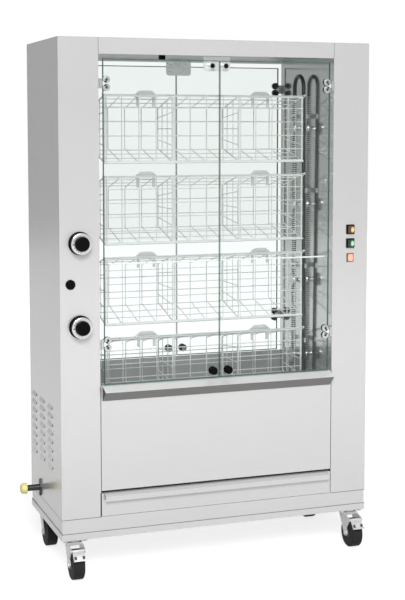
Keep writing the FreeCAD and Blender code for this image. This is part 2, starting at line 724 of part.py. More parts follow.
def lower_drawer():
    """Lower front with its lip handle, and the tray behind it."""
    bottom = LOWER_FRONT_BOTTOM
    top = LOWER_FRONT_TOP
    nose = FRONT - HANDLE_REACH
    profile = [
        (FRONT, top),
        (nose, top - HANDLE_SLOPE),
        (nose, top - HANDLE_DROP),
        (nose + SHEET, top - HANDLE_DROP),
        (nose + SHEET, top - HANDLE_SLOPE - SHEET),
        (FRONT, top - 2 * SHEET),
    ]
    lip = prism_x(profile, -HANDLE_HALF_LENGTH, HANDLE_HALF_LENGTH)
    front = joined([drawer_front(bottom, top), lip])
    return [front, drawer_box(TRAY_BOTTOM, TRAY_RIM, LOWER_RUNNER_Z)]


def hinge_bracket(z):
    """Right-hand front bracket on the chamber wall, with an upper and a lower knuckle."""
    half = HINGE_HALF_HEIGHT
    plate = box(COLUMN_EDGE - HINGE_BRACKET, COLUMN_EDGE, HINGE_Y, STOP_Y, z - half, z + half)
    hole = rod_z(HINGE_X, HINGE_Y, z - half, z + half, HINGE_PIN_RADIUS)
    pieces = [plate]
    for low in (z - half, z + half - KNUCKLE_HEIGHT):
        pieces.append(rod_z(HINGE_X, HINGE_Y, low, low + KNUCKLE_HEIGHT, HINGE_BARREL_RADIUS))
        pieces.append(
            box(
                HINGE_X,
                COLUMN_EDGE - HINGE_BRACKET,
                HINGE_Y,
                HINGE_Y + HINGE_BARREL_RADIUS,
                low,
                low + KNUCKLE_HEIGHT,
            )
        )
    return joined(pieces).cut(hole)


def hinge_pin(z):
    """Right-hand front hinge pin."""
    return rod_z(HINGE_X, HINGE_Y, z - HINGE_HALF_HEIGHT, z + HINGE_HALF_HEIGHT, HINGE_PIN_RADIUS)


def all_four_corners(shapes):
    """Right front pieces with their mirror images at the other three corners."""
    pairs = shapes + [flip_x(shape) for shape in shapes]
    return pairs + [flip_y(shape) for shape in pairs]


def hinges():
    """Eight hinge brackets with their pins."""
    pieces = []
    for z in HINGE_HEIGHTS:
        pieces += [hinge_bracket(z), hinge_pin(z)]
    return all_four_corners(pieces)


def clamp_lobes(z):
    """Heights of the two round lobes of a clamp."""
    return (z - CLAMP_LOBE_SPACING / 2, z + CLAMP_LOBE_SPACING / 2)


def door_glass():
    """Right front pane with holes for the clamp bolts and the knob."""
    pane = box(DOOR_CENTRE_GAP / 2, DOOR_EDGE, FRONT, GLASS_BACK, DOOR_BOTTOM, DOOR_TOP)
    bolt_hole = CLAMP_BOLT_RADIUS + CLAMP_HOLE_CLEARANCE
    tools = [
        rod_y(CLAMP_LOBE_X, FRONT, GLASS_BACK, lobe, bolt_hole)
        for z in HINGE_HEIGHTS
        for lobe in clamp_lobes(z)
    ]
    knob_hole = DOOR_KNOB_STEM_RADIUS + CLAMP_HOLE_CLEARANCE
    tools.append(rod_y(DOOR_KNOB_FROM_CENTRE, FRONT, GLASS_BACK, DOOR_KNOB_Z, knob_hole))
    return without(pane, tools)


def clamp_plate(y0, y1, z):
    """Two round lobes joined by a bar, on one face of the pane."""
    low, high = clamp_lobes(z)
    lobes = [rod_y(CLAMP_LOBE_X, y0, y1, lobe, CLAMP_LOBE_RADIUS) for lobe in (low, high)]
    edge = DOOR_EDGE + CLAMP_HOLE_CLEARANCE + SHEET
    bar = box(CLAMP_LOBE_X, edge, y0, y1, z - KNUCKLE_HEIGHT, z + KNUCKLE_HEIGHT)
    return lobes + [bar]


def door_clamp(z):
    """Clamp that grips the pane and turns on the hinge pin."""
    outer = FRONT - CLAMP_PLATE
    inner = GLASS_BACK + CLAMP_PLATE
    web_start = DOOR_EDGE + CLAMP_HOLE_CLEARANCE
    knuckle = HINGE_HALF_HEIGHT - KNUCKLE_HEIGHT - KNUCKLE_CLEARANCE
    pieces = clamp_plate(outer, FRONT, z) + clamp_plate(GLASS_BACK, inner, z)
    for lobe in clamp_lobes(z):
        pieces.append(rod_y(CLAMP_LOBE_X, FRONT, GLASS_BACK, lobe, CLAMP_BOLT_RADIUS))
    low = z - KNUCKLE_HEIGHT
    high = z + KNUCKLE_HEIGHT
    pieces.append(box(web_start, web_start + SHEET, outer, inner, low, high))
    pieces.append(rod_z(HINGE_X, HINGE_Y, z - knuckle, z + knuckle, HINGE_BARREL_RADIUS))
    pieces.append(box(web_start, HINGE_X, HINGE_Y, FRONT, z - knuckle, z + knuckle))
    bore = HINGE_PIN_RADIUS + HINGE_PIN_CLEARANCE
    return joined(pieces).cut(rod_z(HINGE_X, HINGE_Y, z - knuckle, z + knuckle, bore))


def door_fittings():
    """Right front clamps, knob with its washer, and strike disc."""
    x = DOOR_KNOB_FROM_CENTRE
    knob = joined(
        [
            rod_y(x, FRONT - DOOR_KNOB_LENGTH, FRONT, DOOR_KNOB_Z, DOOR_KNOB_RADIUS),
            rod_y(x, FRONT, GLASS_BACK, DOOR_KNOB_Z, DOOR_KNOB_STEM_RADIUS),
            rod_y(x, GLASS_BACK, GLASS_BACK + CLAMP_PLATE, DOOR_KNOB_Z, 2 * DOOR_KNOB_STEM_RADIUS),
        ]
    )
    strike = rod_y(MAGNET_FROM_CENTRE, GLASS_BACK, GLASS_BACK + STRIKE_THICKNESS, MAGNET_Z, MAGNET_RADIUS)
    return [door_clamp(z) for z in HINGE_HEIGHTS] + [knob, strike]


def door_stop():
    """Front stop plate with two round magnets that face the doors."""
    bottom = CEILING_Z - STOP_DROP
    y0 = STOP_Y
    plate = box(-STOP_HALF_WIDTH, STOP_HALF_WIDTH, y0, y0 + SHEET, bottom, CEILING_Z)
    corners = [edge for edge in plate.Edges if abs(edge.BoundBox.ZMax - bottom) < SHEET / 2]
    corners = [edge for edge in corners if edge.BoundBox.XLength < SHEET / 2]
    plate = plate.makeFillet(MAGNET_RADIUS, corners)
    start = GLASS_BACK + STRIKE_THICKNESS + MAGNET_GAP
    magnets = [rod_y(i * MAGNET_FROM_CENTRE, start, y0, MAGNET_Z, MAGNET_RADIUS) for i in (-1, 1)]
    return [plate] + magnets


def door_switch():
    """Small switch box under the ceiling that senses the left front door."""
    half_x, half_y, height = SWITCH_BOX[0] / 2, SWITCH_BOX[1] / 2, SWITCH_BOX[2]
    return box(
        SWITCH_BOX_X - half_x,
        SWITCH_BOX_X + half_x,
        SWITCH_BOX_Y - half_y,
        SWITCH_BOX_Y + half_y,
        CEILING_Z - height,
        CEILING_Z,
    )


def burner_tube():
    """Right-hand hairpin burner tube with its feed stub through the wall."""
    x = BURNER_X
    legs = (-BURNER_LEG_Y, BURNER_LEG_Y)
    pieces = [rod_z(x, y, BURNER_BOTTOM, BURNER_BEND_Z, BURNER_RADIUS) for y in legs]
    section = Part.Face(Part.Wire(Part.makeCircle(BURNER_RADIUS, V(x, -BURNER_LEG_Y, BURNER_BEND_Z))))
    pieces.append(section.revolve(V(x, 0, BURNER_BEND_Z), V(-1, 0, 0), 180))
    pieces.append(Part.makeSphere(BURNER_RADIUS, V(x, -BURNER_LEG_Y, BURNER_BOTTOM)))
    pieces.append(rod_x(x, BURNER_STUB_END, -BURNER_LEG_Y, BURNER_BOTTOM, BURNER_RADIUS))
    return joined(pieces)


def burner_clip(z):
    """Right-hand clip that holds both legs of the burner off the wall."""
    z0 = z - CLIP_HEIGHT / 2
    z1 = z + CLIP_HEIGHT / 2
    back = BURNER_X + BURNER_RADIUS + CLIP_BACK
    plate = box(back - CLIP_PLATE, back, -CLIP_HALF_WIDTH, CLIP_HALF_WIDTH, z0, z1)
    half = CLIP_STANDOFF_HALF_WIDTH
    standoff = box(back, COLUMN_EDGE, -half, half, z0, z1)
    legs = [rod_z(BURNER_X, y, z0, z1, BURNER_RADIUS) for y in (-BURNER_LEG_Y, BURNER_LEG_Y)]
    return without(joined([plate, standoff]), legs)


def inlet_flange():
    """Diamond plate about the inlet pipe: a round middle with an ear above and one below."""
    outer = -HALF_WIDTH - INLET_FLANGE
    inner = -HALF_WIDTH
    lean = (INLET_FLANGE_RADIUS - INLET_EAR_RADIUS) / INLET_EAR_REACH
    width = math.sqrt(1 - lean ** 2)
    middle_y, middle_z = INLET_FLANGE_RADIUS * width, INLET_FLANGE_RADIUS * lean
    ear_y, ear_z = INLET_EAR_RADIUS * width, INLET_EAR_REACH + INLET_EAR_RADIUS * lean
    pieces = [rod_x(outer, inner, INLET_Y, INLET_Z, INLET_FLANGE_RADIUS)]
    for side in (-1, 1):
        ear = INLET_Z + side * INLET_EAR_REACH
        outline = [
            (INLET_Y - middle_y, INLET_Z + side * middle_z),
            (INLET_Y + middle_y, INLET_Z + side * middle_z),
            (INLET_Y + ear_y, INLET_Z + side * ear_z),
            (INLET_Y - ear_y, INLET_Z + side * ear_z),
        ]
        pieces.append(rod_x(outer, inner, INLET_Y, ear, INLET_EAR_RADIUS))
        pieces.append(prism_x(outline, outer, inner))
    return joined(pieces)


def gas_pipework():
    """Inlet pipe with its flange, manifold, and one feed pipe to each burner."""
    inlet = joined([rod_x(-INLET_END, KNOB_X, INLET_Y, INLET_Z, INLET_RADIUS), inlet_flange()])
    start = V(KNOB_X, INLET_Y, INLET_Z)
    manifold = pipe(
        [start, V(KNOB_X, MANIFOLD_Y, INLET_Z), V(KNOB_X, MANIFOLD_Y, KNOB_HEIGHTS[0])], MANIFOLD_RADIUS
    )
    trunk = joined([inlet, manifold])
    left_x = KNOB_X + FEED_SIDE_OFFSET
    left_feed = pipe(
        [
            V(left_x, FEED_Y, KNOB_HEIGHTS[0] - VALVE_HALF_HEIGHT),
            V(left_x, FEED_Y, BURNER_BOTTOM),
            V(left_x, -BURNER_LEG_Y, BURNER_BOTTOM),
            V(-BURNER_STUB_END, -BURNER_LEG_Y, BURNER_BOTTOM),
        ],
        FEED_RADIUS,
    )
    right_x = KNOB_X - FEED_SIDE_OFFSET
    right_feed = pipe(
        [
            V(right_x, FEED_Y, KNOB_HEIGHTS[1] - VALVE_HALF_HEIGHT),
            V(right_x, FEED_Y, FEED_CROSSING_Z),
            V(FEED_RIGHT_X, FEED_Y, FEED_CROSSING_Z),
            V(FEED_RIGHT_X, FEED_Y, BURNER_BOTTOM),
            V(FEED_RIGHT_X, -BURNER_LEG_Y, BURNER_BOTTOM),
            V(BURNER_STUB_END, -BURNER_LEG_Y, BURNER_BOTTOM),
        ],
        FEED_RADIUS,
    )
    return [trunk, left_feed, right_feed]


def inlet_cap():
    """Dust cap pushed over the end of the inlet pipe."""
    start = -INLET_END - (CAP_LENGTH - CAP_COVER)
    cap = rod_x(start, start + CAP_LENGTH, INLET_Y, INLET_Z, CAP_RADIUS)
    return cap.cut(rod_x(-INLET_END, -INLET_END + CAP_COVER, INLET_Y, INLET_Z, INLET_RADIUS))


def gas_valve(z):
    """Valve body behind the panel, with its bezel in front."""
    body = box(
        KNOB_X - VALVE_HALF_WIDTH,
        KNOB_X + VALVE_HALF_WIDTH,
        VALVE_FRONT,
        MANIFOLD_Y,
        z - VALVE_HALF_HEIGHT,
        z + VALVE_HALF_HEIGHT,
    )
    top = KNOB_HEIGHTS[0] + VALVE_HALF_HEIGHT
    main = rod_z(KNOB_X, MANIFOLD_Y, INLET_Z, top, MANIFOLD_RADIUS)
    feed_top = KNOB_HEIGHTS[0] - VALVE_HALF_HEIGHT
    feed_room = FEED_RADIUS + PIPE_HOLE_CLEARANCE
    left_feed = rod_z(KNOB_X + FEED_SIDE_OFFSET, FEED_Y, BURNER_BOTTOM, feed_top, feed_room)
    bore = KNOB_SHAFT_RADIUS + KNOB_SHAFT_CLEARANCE
    spindle = rod_y(KNOB_X, VALVE_FRONT, VALVE_FRONT + KNOB_SHAFT_DEPTH, z, bore)
    neck_bore = rod_y(KNOB_X, FRONT, VALVE_FRONT, z, bore)
    neck = rod_y(KNOB_X, FRONT + SHEET, VALVE_FRONT, z, 2 * KNOB_SHAFT_RADIUS)
    body = without(joined([body, neck]), [main, left_feed, spindle, neck_bore])
    bezel = rod_y(KNOB_X, FRONT - BEZEL, FRONT, z, BEZEL_RADIUS)
    bezel = bezel.cut(rod_y(KNOB_X, FRONT - BEZEL, FRONT, z, KNOB_SHAFT_RADIUS + PIPE_HOLE_CLEARANCE))
    return [body, bezel]


def igniter_body():
    """Igniter housing with its collar in front of the panel."""
    bore = IGNITER_BUTTON_RADIUS + IGNITER_CLEARANCE
    depth = IGNITER_BUTTON_DEPTH + 2 * IGNITER_TRAVEL
    housing = joined(
        [
            rod_y(IGNITER_X, FRONT - IGNITER_COLLAR, FRONT, IGNITER_Z, IGNITER_COLLAR_RADIUS),
            rod_y(IGNITER_X, FRONT, FRONT + SHEET, IGNITER_Z, IGNITER_NECK_RADIUS),
            rod_y(IGNITER_X, FRONT + SHEET, FRONT + IGNITER_BODY_LENGTH, IGNITER_Z, IGNITER_BODY_RADIUS),
        ]
    )
    return housing.cut(rod_y(IGNITER_X, FRONT - IGNITER_COLLAR, FRONT + depth, IGNITER_Z, bore))


def igniter_button():
    """Round push button."""
    start = FRONT - IGNITER_REACH
    return rod_y(IGNITER_X, start, FRONT + IGNITER_BUTTON_DEPTH, IGNITER_Z, IGNITER_BUTTON_RADIUS)


def gas_knob(z):
    """Silver dial ring with a black grip and its shaft."""
    back = FRONT - BEZEL - DIAL_GAP
    dial_front = FRONT - DIAL_REACH
    dial = rod_y(KNOB_X, dial_front, back, z, DIAL_RADIUS)
    dial = dial.cut(rod_y(KNOB_X, dial_front, back, z, GRIP_RADIUS))
    grip = rod_y(KNOB_X, FRONT - KNOB_REACH, back, z, GRIP_RADIUS)
    shaft_end = VALVE_FRONT + KNOB_SHAFT_DEPTH - KNOB_SHAFT_RADIUS
    shaft = rod_y(KNOB_X, back, shaft_end, z, KNOB_SHAFT_RADIUS)
    return [dial, joined([grip, shaft])]


def switch_body(z):
    """Rocker switch housing with its bezel, cavity and pivot holes."""
    housing = joined(
        [
            box(
                SWITCH_X - SWITCH_BEZEL_HALF_WIDTH,
                SWITCH_X + SWITCH_BEZEL_HALF_WIDTH,
                FRONT - SWITCH_BEZEL,
                FRONT,
                z - SWITCH_BEZEL_HALF_HEIGHT,
                z + SWITCH_BEZEL_HALF_HEIGHT,
            ),
            box(
                SWITCH_X - SWITCH_BODY_HALF_WIDTH,
                SWITCH_X + SWITCH_BODY_HALF_WIDTH,
                FRONT,
                FRONT + SWITCH_BODY_DEPTH,
                z - SWITCH_BODY_HALF_HEIGHT,
                z + SWITCH_BODY_HALF_HEIGHT,
            ),
        ]
    )
    room_x = ROCKER_HALF_WIDTH + ROCKER_CLEARANCE
    room_z = ROCKER_RADIUS + ROCKER_CLEARANCE
    cavity = box(
        SWITCH_X - room_x,
        SWITCH_X + room_x,
        FRONT - SWITCH_BEZEL,
        ROCKER_AXIS_Y + ROCKER_RADIUS,
        z - room_z,
        z + room_z,
    )
    pivot = rod_x(
        SWITCH_X - room_x - ROCKER_PIN_BITE,
        SWITCH_X + room_x + ROCKER_PIN_BITE,
        ROCKER_AXIS_Y,
        z,
        ROCKER_PIN_RADIUS + ROCKER_PIN_CLEARANCE,
    )
    return without(housing, [cavity, pivot])


def rocker(z):
    """Rocker cap with its pivot pins, resting tilted to off."""
    half = ROCKER_HALF_WIDTH
    drum = rod_x(SWITCH_X - half, SWITCH_X + half, ROCKER_AXIS_Y, z, ROCKER_RADIUS)
    slab = box(
        SWITCH_X - half,
        SWITCH_X + half,
        ROCKER_AXIS_Y - ROCKER_FACE,
        ROCKER_AXIS_Y + ROCKER_BACK,
        z - ROCKER_RADIUS,
        z + ROCKER_RADIUS,
    )
    reach = half + ROCKER_CLEARANCE + ROCKER_PIN_BITE - ROCKER_PIN_CLEARANCE
    pins = rod_x(SWITCH_X - reach, SWITCH_X + reach, ROCKER_AXIS_Y, z, ROCKER_PIN_RADIUS)
    cap = joined([drum.common(slab), pins])
    cap.rotate(V(SWITCH_X, ROCKER_AXIS_Y, z), V(1, 0, 0), -ROCKER_REST_TILT)
    return cap


def pilot_lamp():
    """Square lens with its body behind the panel."""
    lens = box(
        SWITCH_X - PILOT_HALF_WIDTH,
        SWITCH_X + PILOT_HALF_WIDTH,
        FRONT - PILOT_REACH,
        FRONT,
        PILOT_Z - PILOT_HALF_HEIGHT,
        PILOT_Z + PILOT_HALF_HEIGHT,
    )
    return joined([lens, rod_y(SWITCH_X, FRONT, FRONT + PILOT_BODY_DEPTH, PILOT_Z, PILOT_BODY_RADIUS)])


def cable_gland():
    """Gland for the mains cable at the back of the right column."""
    start = INNER_Y - GLAND_INSIDE
    end = HALF_DEPTH + GLAND_OUTSIDE
    pieces = [
        rod_y(GLAND_X, start, end, GLAND_Z, GLAND_RADIUS),
        rod_y(GLAND_X, HALF_DEPTH, HALF_DEPTH + GLAND_NUT, GLAND_Z, GLAND_NUT_RADIUS),
        rod_y(GLAND_X, INNER_Y - GLAND_NUT, INNER_Y, GLAND_Z, GLAND_NUT_RADIUS),
    ]
    return joined(pieces).cut(rod_y(GLAND_X, start, end, GLAND_Z, GLAND_BORE))


def gear_motor():
    """Gearmotor with a bore for its output shaft, and the shelf that carries it."""
    x1 = MOTOR_FRONT_X + MOTOR_LENGTH
    bottom = MOTOR_Z - MOTOR_HALF_HEIGHT
    top = MOTOR_Z + MOTOR_HALF_HEIGHT
    half = MOTOR_HALF_DEPTH
    bore_end = MOTOR_FRONT_X + MOTOR_BORE_DEPTH
    housing = box(MOTOR_FRONT_X, x1, -half, half, bottom, top)
    bore = rod_x(MOTOR_FRONT_X, bore_end, 0, MOTOR_Z, SPINDLE_RADIUS + BEARING_CLEARANCE)
    shelf = box(WALL_OUTER, HALF_WIDTH - SHEET, -half, half, bottom - MOTOR_SHELF, bottom)
    return [housing.cut(bore), shelf]


def sprocket(z, turn):
    """Toothed wheel on the chain line, its first tooth turned by the given angle."""
    x0 = CHAIN_X - SPROCKET_THICKNESS / 2
    root = PITCH_RADIUS - ROOT_DEPTH
    tip = PITCH_RADIUS + TOOTH_HEIGHT
    outline = []
    for tooth in range(SPROCKET_TEETH):
        middle = turn + tooth * 360 / SPROCKET_TEETH
        for radius, offset in (
            (root, -TOOTH_BASE_HALF_ANGLE),
            (tip, -TOOTH_TIP_HALF_ANGLE),
            (tip, TOOTH_TIP_HALF_ANGLE),
            (root, TOOTH_BASE_HALF_ANGLE),
        ):
            angle = math.radians(middle + offset)
            outline.append((radius * math.cos(angle), z + radius * math.sin(angle)))
    wheel = prism_x(outline, x0, x0 + SPROCKET_THICKNESS)
    hub = rod_x(x0, x0 + SPROCKET_HUB_LENGTH, 0, z, SPROCKET_HUB_RADIUS)
    return joined([wheel, hub]).cut(rod_x(x0, x0 + SPROCKET_HUB_LENGTH, 0, z, SPINDLE_RADIUS))


def tooth_turn(z):
    """Angle of a tooth so that the chain pins at this height fall in tooth gaps."""
    half_pitches = round((z - MOTOR_Z) / CHAIN_PITCH * 2)
    half_tooth = 180 / SPROCKET_TEETH
    return 0.0 if half_pitches % 2 else half_tooth


def motor_sprocket():
    """Drive sprocket with the motor's output shaft through it."""
    wheel = sprocket(MOTOR_Z, tooth_turn(MOTOR_Z))
    x0 = CHAIN_X - SPROCKET_THICKNESS / 2
    return joined([wheel, rod_x(x0, MOTOR_FRONT_X + MOTOR_SHAFT_DEPTH, 0, MOTOR_Z, SPINDLE_RADIUS)])


def chain_plate(x0, bottom, top):
    """One side band of the chain loop."""
    def stadium(radius):
        sides = box(x0, x0 + CHAIN_PLATE, -radius, radius, bottom, top)
        ends = [rod_x(x0, x0 + CHAIN_PLATE, 0, z, radius) for z in (bottom, top)]
        return joined([sides] + ends)

    outside = stadium(PITCH_RADIUS + CHAIN_PLATE_HALF_HEIGHT)
    return outside.cut(stadium(PITCH_RADIUS - CHAIN_PLATE_HALF_HEIGHT))


def drive_chain():
    """Closed chain round the motor sprocket and the top one, touching those between."""
    bottom = MOTOR_Z
    top = basket_heights()[-1]
    x0 = CHAIN_X - CHAIN_WIDTH / 2
    x1 = CHAIN_X + CHAIN_WIDTH / 2
    places = []
    straight = int((top - bottom) / CHAIN_PITCH)
    for i in range(straight + 1):
        places += [(-PITCH_RADIUS, bottom + i * CHAIN_PITCH), (PITCH_RADIUS, bottom + i * CHAIN_PITCH)]
    step = 360 / SPROCKET_TEETH
    for i in range(1, SPROCKET_TEETH // 2):
        angle = math.radians(180 + i * step)
        places.append((PITCH_RADIUS * math.cos(angle), bottom + PITCH_RADIUS * math.sin(angle)))
    for i in range(SPROCKET_TEETH // 2):
        angle = math.radians((i + 0.5) * step)
        places.append((PITCH_RADIUS * math.cos(angle), top + PITCH_RADIUS * math.sin(angle)))
    pins = [rod_x(x0, x1, y, z, CHAIN_PIN_RADIUS) for y, z in places]
    plates = [chain_plate(x, bottom, top) for x in (x0, x1 - CHAIN_PLATE)]
    return joined(plates + pins)


def bearing(z):
    """Right-hand flanged bush in the chamber wall."""
    pieces = [
        rod_x(COLUMN_EDGE, COLUMN_EDGE + BUSH_LENGTH, 0, z, BUSH_RADIUS),
        rod_x(COLUMN_EDGE - BUSH_FLANGE, COLUMN_EDGE, 0, z, BUSH_FLANGE_RADIUS),
    ]
    bore = SPINDLE_RADIUS + BEARING_CLEARANCE
    return joined(pieces).cut(rod_x(COLUMN_EDGE - BUSH_FLANGE, COLUMN_EDGE + BUSH_LENGTH, 0, z, bore))


def spindle_bearings():
    """Eight bushes, two to a basket."""
    right = [bearing(z) for z in basket_heights()]
    return right + [flip_x(bush) for bush in right]


def compartment_edges():
    """Places along x of the basket's ends and partitions."""
    length = 2 * BASKET_HALF_LENGTH / COMPARTMENTS
    return [-BASKET_HALF_LENGTH + i * length for i in range(COMPARTMENTS + 1)]


def column_gaps(partition_half):
    """Spans along x of the gaps between upright wires, in every compartment."""
    edges = compartment_edges()
    spans = []
    for left, right in zip(edges, edges[1:]):
        width = (right - left) / COLUMNS_PER_COMPARTMENT
        for i in range(COLUMNS_PER_COMPARTMENT):
            x0 = left + i * width + WIRE / 2
            x1 = left + (i + 1) * width - WIRE / 2
            if i == 0:
                x0 = left + (WIRE if left == edges[0] else partition_half)
            if i == COLUMNS_PER_COMPARTMENT - 1:
                x1 = right - (WIRE if right == edges[-1] else partition_half)
            spans.append((x0, x1))
    return spans


def section_half_height(y):
    """Half height of the basket's section at a given depth."""
    share = (y - BASKET_FRONT_Y) / (BASKET_REAR_Y - BASKET_FRONT_Y)
    return BASKET_FRONT_HALF + share * (BASKET_REAR_HALF - BASKET_FRONT_HALF)


def basket_lid():
    """Hinged wire front of a basket, about a spindle at z = 0."""
    y0 = BASKET_FRONT_Y
    half = BASKET_FRONT_HALF
    plate = box(-BASKET_HALF_LENGTH, BASKET_HALF_LENGTH, y0, y0 + WIRE, -half, half)
    row = 2 * half / LID_ROWS
    spans = column_gaps(LID_DOUBLE_WIRE + WIRE / 2)
    inner = LID_DOUBLE_WIRE - WIRE / 2
    spans += [(edge - inner, edge + inner) for edge in compartment_edges()[1:-1]]
    tools = []
    for i in range(LID_ROWS):
        low = -half + (LID_RAIL if i == 0 else i * row + WIRE / 2)
        high = half - WIRE if i == LID_ROWS - 1 else -half + (i + 1) * row - WIRE / 2
        tools += [box(x0, x1, y0, y0 + WIRE, low, high) for x0, x1 in spans]
    grid = without(plate, tools)
    reach = BASKET_HALF_LENGTH + LID_EYE_GAP + LID_EYE_THICKNESS + LID_EYE_GAP
    pins = [
        rod_x(BASKET_HALF_LENGTH - WIRE, reach, LID_AXIS_Y, LID_AXIS_Z, LID_PIN_RADIUS),
        rod_x(-reach, -BASKET_HALF_LENGTH + WIRE, LID_AXIS_Y, LID_AXIS_Z, LID_PIN_RADIUS),
    ]
    return joined([grid] + pins)


def cage_outline(inset):
    """Section of the cage in (y, z), drawn in by the given amount at the back and the sloped sides."""
    back = BASKET_REAR_Y - inset
    front_half = section_half_height(CAGE_FRONT_Y) - inset
    back_half = section_half_height(back) - inset
    upper = [(back, back_half), (CAGE_FRONT_Y, front_half)]
    return [(CAGE_FRONT_Y, -front_half), (back, -back_half)] + upper


def cage_shell():
    """Sheet-thick box with partitions, before the gaps are cut."""
    edges = compartment_edges()
    outer = prism_x(cage_outline(0), edges[0], edges[-1])
    rooms = []
    for left, right in zip(edges, edges[1:]):
        x0 = left + (WIRE if left == edges[0] else WIRE / 2)
        x1 = right - (WIRE if right == edges[-1] else WIRE / 2)
        rooms.append(prism_x(cage_outline(WIRE), x0, x1))
    return without(outer, rooms)


def cage_gaps():
    """Tools for every gap between the cage's wires."""
    spans = column_gaps(WIRE / 2)
    depth = (BASKET_REAR_Y - CAGE_FRONT_Y) / CAGE_ROWS
    rows_y = []
    for i in range(CAGE_ROWS):
        y0 = CAGE_FRONT_Y + i * depth + (WIRE if i == 0 else WIRE / 2)
        y1 = CAGE_FRONT_Y + (i + 1) * depth - (WIRE if i == CAGE_ROWS - 1 else WIRE / 2)
        rows_y.append((y0, y1))
    height = BASKET_FRONT_HALF
    tools = [box(x0, x1, y0, y1, -height, height) for x0, x1 in spans for y0, y1 in rows_y]
    row = 2 * BASKET_REAR_HALF / CAGE_ROWS
    for i in range(CAGE_ROWS):
        z0 = -BASKET_REAR_HALF + i * row + WIRE / (1 if i == 0 else 2)
        z1 = -BASKET_REAR_HALF + (i + 1) * row - WIRE / (1 if i == CAGE_ROWS - 1 else 2)
        tools += [box(x0, x1, BASKET_REAR_Y - WIRE, BASKET_REAR_Y, z0, z1) for x0, x1 in spans]
    return tools, rows_y


def end_gaps(rows_y):
    """Tools for the gaps in the ends and partitions, whose wires fan out towards the front."""
    tools = []
    for y0, y1 in rows_y:
        for i in range(END_ROWS):
            low = -1 + 2 * i / END_ROWS
            high = low + 2 / END_ROWS
            corners = []
            for y, share, side in ((y0, low, 1), (y1, low, 1), (y1, high, -1), (y0, high, -1)):
                inner_half = section_half_height(y) - WIRE
                corners.append((y, share * inner_half + side * WIRE / 2))
            tools.append(prism_x(corners, -BASKET_HALF_LENGTH, BASKET_HALF_LENGTH))
    return tools


def handle_tab(x):
    """Grey handle on top of the cage: a trapezoid plate on two legs."""
    y0 = TAB_Y - TAB_THICKNESS / 2
    y1 = TAB_Y + TAB_THICKNESS / 2
    bottom = section_half_height(TAB_Y)
    top = bottom + TAB_HEIGHT
    plate = prism_y(
        [
            (x - TAB_BOTTOM_WIDTH / 2, bottom + WIRE),
            (x + TAB_BOTTOM_WIDTH / 2, bottom + WIRE),
            (x + TAB_TOP_WIDTH / 2, top),
            (x - TAB_TOP_WIDTH / 2, top),
        ],
        y0,
        y1,
    )
    pieces = [plate]
    half = TAB_LEG_WIDTH / 2
    leg_bottom = section_half_height(BASKET_REAR_Y)
    for side in (-1, 1):
        middle = x + side * TAB_LEG_SPACING / 2
        pieces.append(box(middle - half, middle + half, y0, y1, leg_bottom, bottom + WIRE))
    foot = TAB_BOTTOM_WIDTH / 2
    pieces.append(box(x - foot, x + foot, y0, y1, bottom - WIRE, bottom + WIRE))
    return joined(pieces)


def lid_eye():
    """Right-hand eye on the cage that carries the lid's pin."""
    x0 = BASKET_HALF_LENGTH + LID_EYE_GAP
    x1 = x0 + LID_EYE_THICKNESS
    back = CAGE_FRONT_Y + LID_EYE_REACH
    ring = rod_x(x0, x1, LID_AXIS_Y, LID_AXIS_Z, LID_EYE_RADIUS)
    low = LID_AXIS_Z - LID_EYE_RADIUS - WIRE
    strap = box(x0, x1, LID_AXIS_Y, back, low, LID_AXIS_Z)
    foot = box(BASKET_HALF_LENGTH - WIRE, x1, CAGE_FRONT_Y, back, low, LID_AXIS_Z - LID_EYE_FOOT_DROP)
    bore = rod_x(x0, x1, LID_AXIS_Y, LID_AXIS_Z, LID_PIN_RADIUS + LID_PIN_CLEARANCE)
    return joined([ring, strap, foot]).cut(bore)


def hub_disc():
    """Right-hand disc that joins the spindle to the cage's end."""
    return rod_x(BASKET_HALF_LENGTH - WIRE, BASKET_HALF_LENGTH + HUB_THICKNESS, 0, 0, HUB_RADIUS)


def basket_cage():
    """Wire cage with partitions, handles, lid eyes and both spindle stubs, about z = 0."""
    tools, rows_y = cage_gaps()
    shell = without(cage_shell(), tools + end_gaps(rows_y))
    start = BASKET_HALF_LENGTH + HUB_THICKNESS
    right_end = CHAIN_X - SPROCKET_THICKNESS / 2 + SPROCKET_HUB_LENGTH
    left_end = WALL_OUTER + SPINDLE_LEFT_OVERHANG
    pieces = [shell, lid_eye(), flip_x(lid_eye()), hub_disc(), flip_x(hub_disc())]
    pieces += [handle_tab(x) for x in (-TAB_X, TAB_X)]
    pieces.append(rod_x(start, right_end, 0, 0, SPINDLE_RADIUS))
    pieces.append(rod_x(-left_end, -start, 0, 0, SPINDLE_RADIUS))
    return joined(pieces)


def castor_plate(x, y):
    """Mounting plate with its bearing race and kingpin."""
    under = BASE_BOTTOM - CASTOR_PLATE
    left, right = x - PLATE_HALF_X, x + PLATE_HALF_X
    plate = box(left, right, y - PLATE_HALF_Y, y + PLATE_HALF_Y, under, BASE_BOTTOM)
    hole = BOLT_RADIUS + BOLT_CLEARANCE
    corners = [(x + i * BOLT_X, y + j * BOLT_Y) for i in (-1, 1) for j in (-1, 1)]
    holes = [rod_z(hole_x, hole_y, under, BASE_BOTTOM, hole) for hole_x, hole_y in corners]
    pin_bottom = FORK_HEAD_BOTTOM - FORK_HEAD_GAP - KINGPIN_HEAD
    pieces = [
        without(plate, holes),
        rod_z(x, y, under - RACE_HEIGHT, under, RACE_RADIUS),
        rod_z(x, y, pin_bottom, under, KINGPIN_RADIUS),
        rod_z(x, y, pin_bottom, pin_bottom + KINGPIN_HEAD, KINGPIN_HEAD_RADIUS),
    ]
    return joined(pieces)


